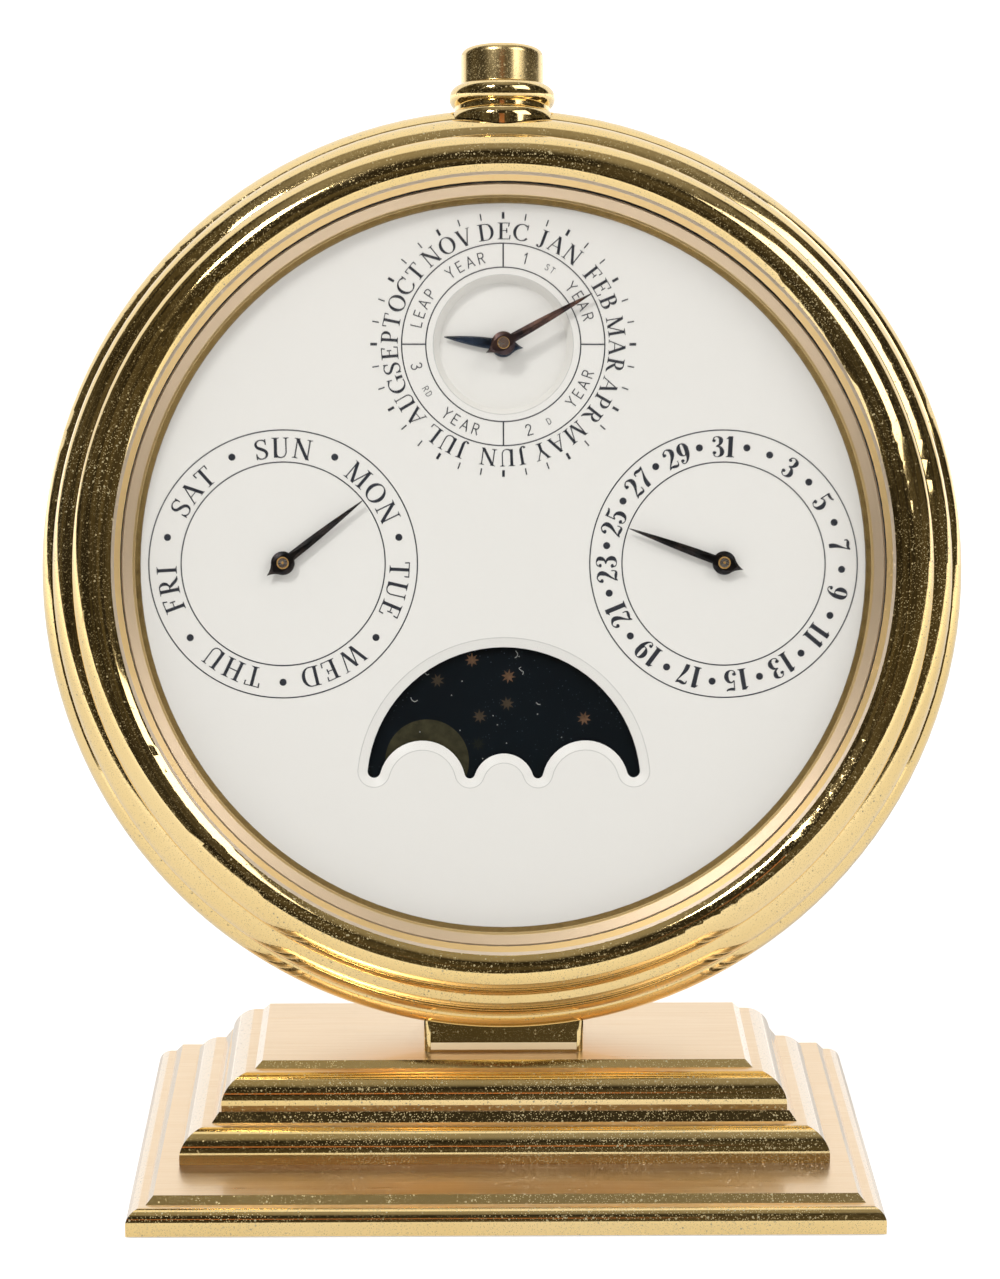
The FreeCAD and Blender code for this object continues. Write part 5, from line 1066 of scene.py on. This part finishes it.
# %% Words of the year ring
TALL = 1.5
SMALL = 0.85
YEAR_GAP = 0.42
UPRIGHT, INWARD = False, True
BASELINE = {UPRIGHT: 11.93, INWARD: 13.47}
YEAR_WORDS = (("1", TALL, 14.4, UPRIGHT), ("ST", SMALL, 31.7, UPRIGHT), ("YEAR", TALL, 60.7, UPRIGHT),
              ("YEAR", TALL, 120.1, INWARD), ("D", SMALL, 149.5, INWARD), ("2", TALL, 163.4, INWARD),
              ("YEAR", TALL, 208.7, INWARD), ("RD", SMALL, 238.1, INWARD), ("3", TALL, 255.7, INWARD),
              ("LEAP", TALL, 294.0, UPRIGHT), ("YEAR", TALL, 334.5, UPRIGHT))

years = []
for word, height, angle, inward in YEAR_WORDS:
    lift = (TALL - height) * (-0.5 if inward else 0.5)
    years += word_on_circle(word, PLAIN.get, CENTRES["month"], angle, BASELINE[inward] + lift, height,
                            YEAR_GAP, inward=inward)
printed("year_words", years)
print(len(years), "strokes in the year ring")

# %% [markdown]
# ## The hands
#
# A hand starts as a flat blank of steel. The maker files two long facets that meet in a ridge,
# bevels the hub, and heats the steel until it turns brown, nearly black, or blue for the
# leap-year hand. The blank in the construction is flat, so each hand is built again here: a
# closed solid whose middle line stands higher than its edges, in the same place and on the same
# level.

# %% Steel turned by heat
def heated_steel(name, dark, warm, blue):
    heated = Finish(name, Metallic=1.0)
    patches = heated.noise(420.0, detail=5.0, rough=0.6)
    bloom = heated.noise(150.0, detail=3.0)
    tint = heated.mix(heated.rise(patches, 0.42, 0.64), dark, warm)
    heated.set("Base Color", heated.mix(heated.ramp(bloom, 0.0, 0.7, 0.40, 0.70), tint, blue))
    heated.set("Roughness", heated.ramp(patches, 0.30, 0.46))
    heated.bump(heated.noise(1600.0, detail=3.0, rough=0.6), strength=0.12, distance=0.01)
    return heated


brown_black = heated_steel("bronzed_steel", dark=(0.035, 0.026, 0.024), warm=(0.16, 0.085, 0.06),
                           blue=(0.09, 0.07, 0.08))
near_black = heated_steel("blackened_steel", dark=(0.016, 0.015, 0.015), warm=(0.060, 0.045, 0.040),
                          blue=(0.040, 0.040, 0.045))
blue_black = heated_steel("blued_steel", dark=(0.012, 0.017, 0.026), warm=(0.035, 0.050, 0.080),
                          blue=(0.05, 0.07, 0.11))
print("three tempers of steel")

# %% [markdown]
# Half of a hand's outline runs from the tip to the hub, round the hub and out to the point of the
# tail. The other half mirrors it. Six points at each step then give the edges, the shoulders and
# the ridge, which is nearly sharp on the blade and broad on the hub.

# %% Facetted hands
BLADE = ((1.0, 0.0), (0.96, 0.10), (0.85, 0.28), (0.72, 0.47), (0.55, 0.68), (0.38, 0.84), (0.22, 0.95),
         (0.0, 1.0))
TAIL = ((0.25, 0.62), (0.5, 0.36), (0.75, 0.16), (1.0, 0.015))
HUB_STEPS = 24
TIP_HALF = 0.05
SHOULDER = 0.45
BLADE_CROWN = 0.05
HUB_CROWN = 0.62
HUB_FLAT = 0.93
HUB_MARGIN = 0.001


def hand_outline(length, tail, hub, base_half, tail_half):
    """Half outlines from tip to tail: (y along the hand, x of the edge)."""
    join = math.sqrt(hub ** 2 - base_half ** 2)
    blade = [(join + (length - join) * share, TIP_HALF + (base_half - TIP_HALF) * fullness)
             for share, fullness in BLADE]
    start = math.degrees(math.asin(base_half / hub))
    end = 180 - math.degrees(math.asin(tail_half / hub))
    hub_points = []
    for i in range(1, HUB_STEPS + 1):
        angle = math.radians(start + (end - start) * i / HUB_STEPS)
        hub_points.append((hub * math.cos(angle), hub * math.sin(angle)))
    foot = hub_points[-1][0]
    point = [(foot + (-tail - foot) * share, tail_half * fullness) for share, fullness in TAIL]
    return blade + hub_points + point


def build_hand(name, body, slot, finish, centre, angle, level, thickness, hub, **sizes):
    """A solid hand with upright edges, two long facets and a ridge at full thickness."""
    edge_points = hand_outline(hub=hub, **sizes)
    low, shoulder, ridge = level, level + thickness * SHOULDER, level + thickness
    verts, faces = [], []
    for y, x in edge_points:
        on_hub = math.hypot(x, y) <= hub + HUB_MARGIN and abs(y) < hub * HUB_FLAT
        crown = x * (HUB_CROWN if on_hub else BLADE_CROWN)
        for across, height in ((-x, low), (-x, shoulder), (-crown, ridge), (crown, ridge), (x, shoulder),
                               (x, low)):
            px, py = turned([(across, y)], angle, centre)[0]
            verts.append(spot(px, py, height))
    count = len(edge_points)
    for i in range(count - 1):
        for k in range(6):
            m = (k + 1) % 6
            faces.append([6 * i + k, 6 * i + m, 6 * i + 6 + m, 6 * i + 6 + k])
    faces.append([k for k in range(6)][::-1])
    faces.append([6 * (count - 1) + k for k in range(6)])
    return piece(name + "_blade", verts, faces, finish, body, stands_for=(name,))


# %% [markdown]
# The angles are clock angles, read from the photograph: the day hand points at Monday, the date
# hand at the twenty-fifth, the month hand at February and the leap-year hand at the leap year.

# %% Four hands in their places
CIRCLE_HAND = {"thickness": 0.5, "length": 14.3, "tail": 2.85, "hub": 1.68, "base_half": 0.64,
               "tail_half": 0.9}
MONTH_HAND = dict(CIRCLE_HAND, length=14.45, base_half=0.66)
LEAP_HAND = {"thickness": 0.4, "length": 8.5, "tail": 2.9, "hub": 1.72, "base_half": 0.80,
             "tail_half": 0.95}
HANDS = (
    ("day_hand", "day_set", "hand_bronze", near_black, "day", 51.8, CIRCLE_HAND),
    ("date_hand", "date_set", "hand_bronze", near_black, "date", 290.0, CIRCLE_HAND),
    ("month_hand", "month_set", "hand_bronze", brown_black, "month", 60.6, MONTH_HAND),
    ("leap_hand", "leap_set", "hand_blue", blue_black, "month", 278.0, LEAP_HAND),
)


def lowest(node):
    """The level of a solid's rear face over the dial, in millimetres."""
    return min(on_dial(vertex.co).z for vertex in nodes[node].data.vertices)


for name, body, slot, finish, circle, angle, sizes in HANDS:
    build_hand(name, body, slot, finish, CENTRES[circle], angle, lowest(name), **sizes)
    print(name, "stands", round(lowest(name), 2), "mm over the dial")

# %% [markdown]
# ## Brass bushes in the hubs
#
# Each hand is pressed on its arbor by a small brass bush. From the front it is a bright turned
# rim, a darker step inside it and the end of the arbor as a dot in the middle. A lathe shape is
# the natural way to make it: a profile of (radius, height) points, spun round the arbor's axis.

# %% A lathe for small turned pieces
BUSH_SEAT = 0.3
BUSH_PROFILE = ((0.86, 0.0), (0.86, 0.40), (0.80, 0.46), (0.68, 0.46), (0.62, 0.38), (0.26, 0.38),
                (0.22, 0.44), (0.10, 0.47))
AMBER = (0.62, 0.34, 0.10)
AMBER_PALE = (0.95, 0.62, 0.24)

amber_brass = Finish("amber_brass", Metallic=0.75)
amber_grain = amber_brass.noise(900.0, detail=3.0)
amber_brass.set("Base Color", amber_brass.mix(amber_grain, AMBER, AMBER_PALE))
amber_brass.set("Roughness", amber_brass.ramp(amber_grain, 0.28, 0.42))


def lathe(name, profile, foot, centre, finish, body, sides=48):
    verts, faces = [], []
    for radius, height in profile:
        for i in range(sides):
            x, y = on_circle(radius, 360.0 * i / sides, centre)
            verts.append(spot(x, y, foot + height))
    rings = len(profile)
    for k in range(rings - 1):
        for i in range(sides):
            j = (i + 1) % sides
            faces.append([k * sides + j, k * sides + i, (k + 1) * sides + i, (k + 1) * sides + j])
    faces.append([i for i in range(sides)])
    faces.append([(rings - 1) * sides + i for i in reversed(range(sides))])
    return piece(name, verts, faces, finish, body)


for name in ("day", "date", "month"):
    foot = lowest(name + "_hand") + BUSH_SEAT
    lathe(name + "_bush", BUSH_PROFILE, foot, CENTRES[name], amber_brass, name + "_set")
    print(name, "bush from", round(foot, 2), "mm over the dial")

# %% [markdown]
# ## The moon disc
#
# Behind the window turns a disc lacquered very dark blue, with two moons opposite each other, so
# that one rises as the other sets. The moons are dull gold leaf and the stars small eight-pointed
# ones of copper leaf, some more tarnished than others.

# %% Night-blue lacquer and leaf
NIGHT = (0.0004, 0.0024, 0.0052)
NIGHT_PALE = (0.0012, 0.0062, 0.0100)
BLUE_DUST = (0.16, 0.20, 0.24)

navy = Finish("night_blue_lacquer", Roughness=0.35, Specular_IOR_Level=0.3)
night = navy.mix(navy.noise(60.0, detail=3.0), NIGHT, NIGHT_PALE)
from_grain = navy.node("TexVoronoi", {"Vector": navy.place(), "Scale": 1900.0}, out="Distance")
dusty_here = navy.rise(navy.noise(130.0, detail=3.0), 0.45, 0.62)
dust_mask = navy.times(navy.ramp(from_grain, 0.7, 0.0, 0.06, 0.16), dusty_here)
navy.set("Base Color", navy.mix(dust_mask, night, BLUE_DUST))
dress(navy, "moon_disc")


def leaf(name, dull, bright, roughness=0.5):
    metal = Finish(name, Metallic=0.6, Roughness=roughness)
    wear = metal.noise(520.0, detail=5.0, rough=0.65)
    metal.set("Base Color", metal.mix(metal.rise(wear, 0.35, 0.7), dull, bright))
    metal.bump(wear, strength=0.2, distance=0.01)
    return metal


olive_gold = leaf("worn_gold_leaf", (0.035, 0.033, 0.014), (0.075, 0.066, 0.030), roughness=0.55)
STAR_LEAVES = {
    "bright": leaf("worn_copper_leaf", (0.11, 0.066, 0.038), (0.30, 0.160, 0.085)),
    "dull": leaf("tarnished_copper_leaf", (0.045, 0.038, 0.026), (0.110, 0.075, 0.045)),
    "dark": leaf("blackened_copper_leaf", (0.010, 0.013, 0.011), (0.026, 0.030, 0.022)),
}
print("moon disc lacquered,", len(STAR_LEAVES), "kinds of leaf for its stars")

# %% [markdown]
# The stars' places are read from the photograph for the half that shows, and the other half of
# the disc repeats them, turned by half a turn. The leaf is laid like ink, as thin solids.

# %% Moons and stars
MOON_CIRCLE = 11.35
MOON_RADIUS = 5.95
MOON_ANGLE = 286.5
MOON_SIDES = 72
STAR_REACH = 1.05
STAR_WAIST = 0.46
STAR_POINTS = 8
STAR_TURN = 8.0
STARS = (("bright", -4.5, 17.6), ("bright", 0.7, 15.3), ("bright", 11.4, 9.3), ("dull", -9.4, 14.7),
         ("dull", 0.5, 11.4), ("dull", -3.4, 9.6), ("dark", -3.6, 5.7))

disc_front = reach("moon_disc", OUT) / MM - middle.dot(OUT) / MM
moon_spots = [on_circle(MOON_CIRCLE, MOON_ANGLE + 180 * side, CENTRES["moon"]) for side in (0, 1)]
moons = [disc(at, MOON_RADIUS, MOON_SIDES) for at in moon_spots]
printed("moons", moons, olive_gold, "moon_set", disc_front)


def star(at, turn):
    outline = []
    for i in range(2 * STAR_POINTS):
        radius = STAR_REACH * STAR_WAIST if i % 2 else STAR_REACH
        outline.append(on_circle(radius, turn + 180.0 / STAR_POINTS * i, at))
    return outline


for kind, finish in STAR_LEAVES.items():
    stars = []
    for half_turn in (0, 180):
        for step, (brightness, across, up) in enumerate(STARS):
            if brightness == kind:
                at = turned([(across, up)], half_turn, CENTRES["moon"])[0]
                stars.append(star(at, half_turn + STAR_TURN * step))
    printed("stars_" + kind, stars, finish, "moon_set", disc_front)
    print(len(stars), kind, "stars")

# %% [markdown]
# Dust has settled on the lacquer, and so have a few curls of lint. The lint is drawn as fine
# strokes of a pen and the largest grains as tiny discs, all a little over the leaf.

# %% Dust and lint on the moon disc
LINT_DARK = (0.20, 0.21, 0.20)
LINT_LIGHT = (0.50, 0.50, 0.46)
LINT_LIFT = 0.04
LINT_WIDTH = 0.10
GRAIN_RADIUS = 0.09
GRAIN_SIDES = 10
LINT = (((-13.2, 12.3), (-13.0, 11.9), (-12.6, 11.7), (-12.2, 11.9)),
        ((1.7, 18.9), (2.0, 18.5), (1.9, 18.1), (1.6, 17.9)),
        ((2.5, 16.6), (2.2, 16.4), (2.5, 16.1), (2.8, 15.9), (2.7, 15.5)),
        ((4.6, 11.6), (4.9, 11.3), (5.2, 11.3)),
        ((-11.2, 15.8), (-10.9, 15.5), (-10.6, 15.6)))
GRAINS = ((-5.9, 14.6), (-1.5, 9.7), (-0.9, 8.4), (0.4, 5.8), (-7.4, 12.6), (8.2, 6.6), (-11.9, 7.4),
          (2.2, 18.1), (13.0, 4.0), (-6.2, 7.6), (4.8, 9.9), (-3.0, 3.6))

lint_finish = Finish("pale_lint", Roughness=0.9)
lint_finish.set("Base Color", lint_finish.mix(lint_finish.noise(900.0, detail=2.0), LINT_DARK, LINT_LIGHT))


def on_moon(x, y):
    return x + CENTRES["moon"][0], y + CENTRES["moon"][1]


lint = [ribbon([(*on_moon(x, y), LINT_WIDTH) for x, y in thread]) for thread in LINT]
lint += [disc(on_moon(x, y), GRAIN_RADIUS, GRAIN_SIDES) for x, y in GRAINS]
printed("lint", lint, lint_finish, "moon_set", disc_front + LINT_LIFT)
print(len(lint), "specks and threads")

# %% [markdown]
# ## The glass
#
# The crystal is 1.8 mm of clear flat glass. A pane that refracts would shut out the lamps'
# direct light from the dial behind it, so it is written as a nearly transparent skin that keeps
# only the shine of glass.

# %% Clear crystal
crystal = Finish("clear_crystal", Roughness=0.02, IOR=1.5, Alpha=0.06, Transmission_Weight=1.0)
smear = crystal.noise(30.0, detail=3.0)
crystal.set("Base Color", crystal.mix(smear, (0.93, 0.95, 0.95), (1.0, 1.0, 1.0)))
crystal.set("Roughness", crystal.ramp(smear, 0.01, 0.05))
dress(crystal, "glass")
print("crystal dressed")

# %% [markdown]
# ## Camera
#
# The photograph was taken from a little above, almost square to the leaning dial. The camera's
# place and turn come from matching the dial circles and the corners of the base. The long side
# of the picture is 36 mm of film.

# %% Camera
PICTURE_HEIGHT = 1279
FOCAL_PIXELS = 3283.5
FILM = 36.0
CAMERA_SPOT = Vector((-7.96, -441.88, 200.05)) * MM
PITCH, YAW, ROLL = 0.276141, 0.016598, -0.003632
NEAREST = 0.01

ahead = Vector((math.sin(YAW) * math.cos(PITCH), math.cos(YAW) * math.cos(PITCH), -math.sin(PITCH)))
level_right = Vector((math.cos(YAW), -math.sin(YAW), 0))
level_down = ahead.cross(level_right)
right = level_right * math.cos(ROLL) + level_down * math.sin(ROLL)
down = level_down * math.cos(ROLL) - level_right * math.sin(ROLL)
camera_data = bpy.data.cameras.new("camera")
camera_data.sensor_width = FILM
camera_data.lens = FOCAL_PIXELS / PICTURE_HEIGHT * FILM
camera_data.clip_start = NEAREST
camera = bpy.data.objects.new("camera", camera_data)
camera.matrix_world = Matrix.Translation(CAMERA_SPOT) @ Matrix((right, -down, -ahead)).transposed().to_4x4()
bpy.context.scene.collection.objects.link(camera)
bpy.context.scene.camera = camera
print("lens, mm:", round(camera_data.lens, 2))

# %% [markdown]
# ## Floor and studio
#
# Polished brass shows the room more than itself, so the room is part of the finish. The table is
# plain and nearly white. It glows only in the picture and in the brass, and only away from the
# calendar, so that it meets the white behind it without a line and keeps the shadow near the base.

# %% Floor
FLOOR_REACH = 7.0
TABLE_EDGE = 0.5
TABLE_GREY = (0.82, 0.82, 0.82)
WHITE = (1.0, 1.0, 1.0)
NEAR, FAR = 0.30, 1.10
PICTURE_GLOW = (0.5, 1.0)
BRASS_GLOW = (0.0, 0.8)

table = Finish("white_table", Base_Color=TABLE_GREY, Roughness=0.9, Specular_IOR_Level=0.0,
               Emission_Color=WHITE)
sees = table.node("LightPath").node.outputs
here = table.node("NewGeometry", out="Position")
away = table.node("VectorMath", {0: here}, out="Value", operation="LENGTH")
in_picture = table.maths("MAXIMUM", sees["Is Camera Ray"], sees["Is Transmission Ray"])
in_picture = table.times(in_picture, table.ramp(away, *PICTURE_GLOW, NEAR, FAR))
in_brass = table.times(sees["Is Glossy Ray"], table.ramp(away, *BRASS_GLOW, NEAR, FAR))
table.set("Emission Strength", table.maths("MAXIMUM", in_picture, in_brass))
floor_mesh = bpy.data.meshes.new("floor")
floor_mesh.from_pydata([(-FLOOR_REACH, -TABLE_EDGE, 0), (FLOOR_REACH, -TABLE_EDGE, 0),
                        (FLOOR_REACH, FLOOR_REACH, 0), (-FLOOR_REACH, FLOOR_REACH, 0)], [], [(0, 1, 2, 3)])
floor_mesh.materials.append(table.material)
floor = bpy.data.objects.new("floor", floor_mesh)
bpy.context.scene.collection.objects.link(floor)
floor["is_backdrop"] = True
print("floor laid")

# %% [markdown]
# Behind the calendar everything is white. In front, where the photographer stands, the room is
# dark, with a paler ceiling and one small warm patch: these dark and light fields become the
# bands on the rings. The room is painted in the world by direction, so it stays where it is when
# the camera moves. Only the brass mirrors it. The dull surfaces get plain soft light instead.

# %% World
BACKDROP_SPREAD = 0.65
BACKDROP_EDGE = (-0.05, 0.07)
ROOM_DARK = (0.018, 0.015, 0.009)
ROOM_LIGHT = (0.085, 0.072, 0.044)
CEILING = (0.30, 0.28, 0.23)
CEILING_EDGE = (0.78, 0.98)
WARM = (0.60, 0.24, 0.11)
WARM_LEFT = 0.025
WARM_UP = 0.46
SOFT_GREY = (0.63, 0.63, 0.63)

world = bpy.data.worlds.new("studio")
world.use_nodes = True
bpy.context.scene.world = world
studio = Shading(world.node_tree)


def soft_step(value, low, high):
    """A soft step from 0 to 1 between two values."""
    return studio.node("MapRange", {"Value": value, "From Min": low, "From Max": high},
                       interpolation_type="SMOOTHSTEP")


direction = studio.node("TexCoord", out="Generated")
x, y, z = studio.node("SeparateXYZ", {0: direction}).node.outputs
off_side = studio.times(studio.maths("ABSOLUTE", x), BACKDROP_SPREAD)
backdrop = soft_step(studio.less(y, off_side), *BACKDROP_EDGE)
clouds = studio.node("TexNoise", {"Vector": direction, "Scale": 3.0, "Detail": 3.0}, "Fac")
warm_across = soft_step(studio.maths("ABSOLUTE", studio.plus(x, WARM_LEFT)), 0.10, 0.08)
warm_up = soft_step(studio.maths("ABSOLUTE", studio.less(z, WARM_UP)), 0.035, 0.025)
dark_room = studio.mix(soft_step(clouds, 0.35, 0.70), ROOM_DARK, ROOM_LIGHT)
dark_room = studio.mix(soft_step(z, *CEILING_EDGE), dark_room, CEILING)
dark_room = studio.mix(studio.times(warm_across, warm_up), dark_room, WARM)
ray = studio.node("LightPath").node.outputs
soft_light = studio.mix(backdrop, SOFT_GREY, WHITE)
mirrored = studio.mix(backdrop, dark_room, WHITE)
room = studio.mix(ray["Is Glossy Ray"], soft_light, mirrored)
room = studio.mix(ray["Is Camera Ray"], room, WHITE)
studio.put(world.node_tree.nodes["Background"].inputs["Color"], room)
print("studio painted with", len(world.node_tree.nodes), "nodes")

# %% [markdown]
# Two soft panels light the calendar, a strong small one high on the left and a large weak one on
# the right. They show in the brass as bright bands, but not in the picture itself.

# %% Lamps
LAMP_TARGET = Vector((0, 0, 0.09))


def panel(name, azimuth, elevation, distance, width, height, radiance):
    """A soft panel: azimuth in degrees from the front towards the right, elevation above the table."""
    a, e = math.radians(azimuth), math.radians(elevation)
    toward = Vector((math.sin(a) * math.cos(e), -math.cos(a) * math.cos(e), math.sin(e)))
    data = bpy.data.lights.new(name, "AREA")
    data.shape = "RECTANGLE"
    data.size, data.size_y = width, height
    data.energy = radiance * math.pi * width * height
    lamp = bpy.data.objects.new(name, data)
    lamp.location = LAMP_TARGET + toward * distance
    lamp.rotation_euler = (-toward).to_track_quat("-Z", "Y").to_euler()
    lamp.visible_camera = False
    bpy.context.scene.collection.objects.link(lamp)
    print(name, "at", round(data.energy, 2), "watts")


panel("key_panel", azimuth=-38, elevation=51, distance=1.1, width=0.20, height=0.20, radiance=34.0)
panel("side_panel", azimuth=54, elevation=41, distance=1.1, width=0.60, height=0.55, radiance=2.6)

# %% Render settings and sizes
bpy.context.scene.view_settings.view_transform = "Standard"
whole_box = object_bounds()
sizes = {"cad": [list(corner) for corner in solids_box], "visual": [list(corner) for corner in whole_box]}
print("sizes:", sizes)
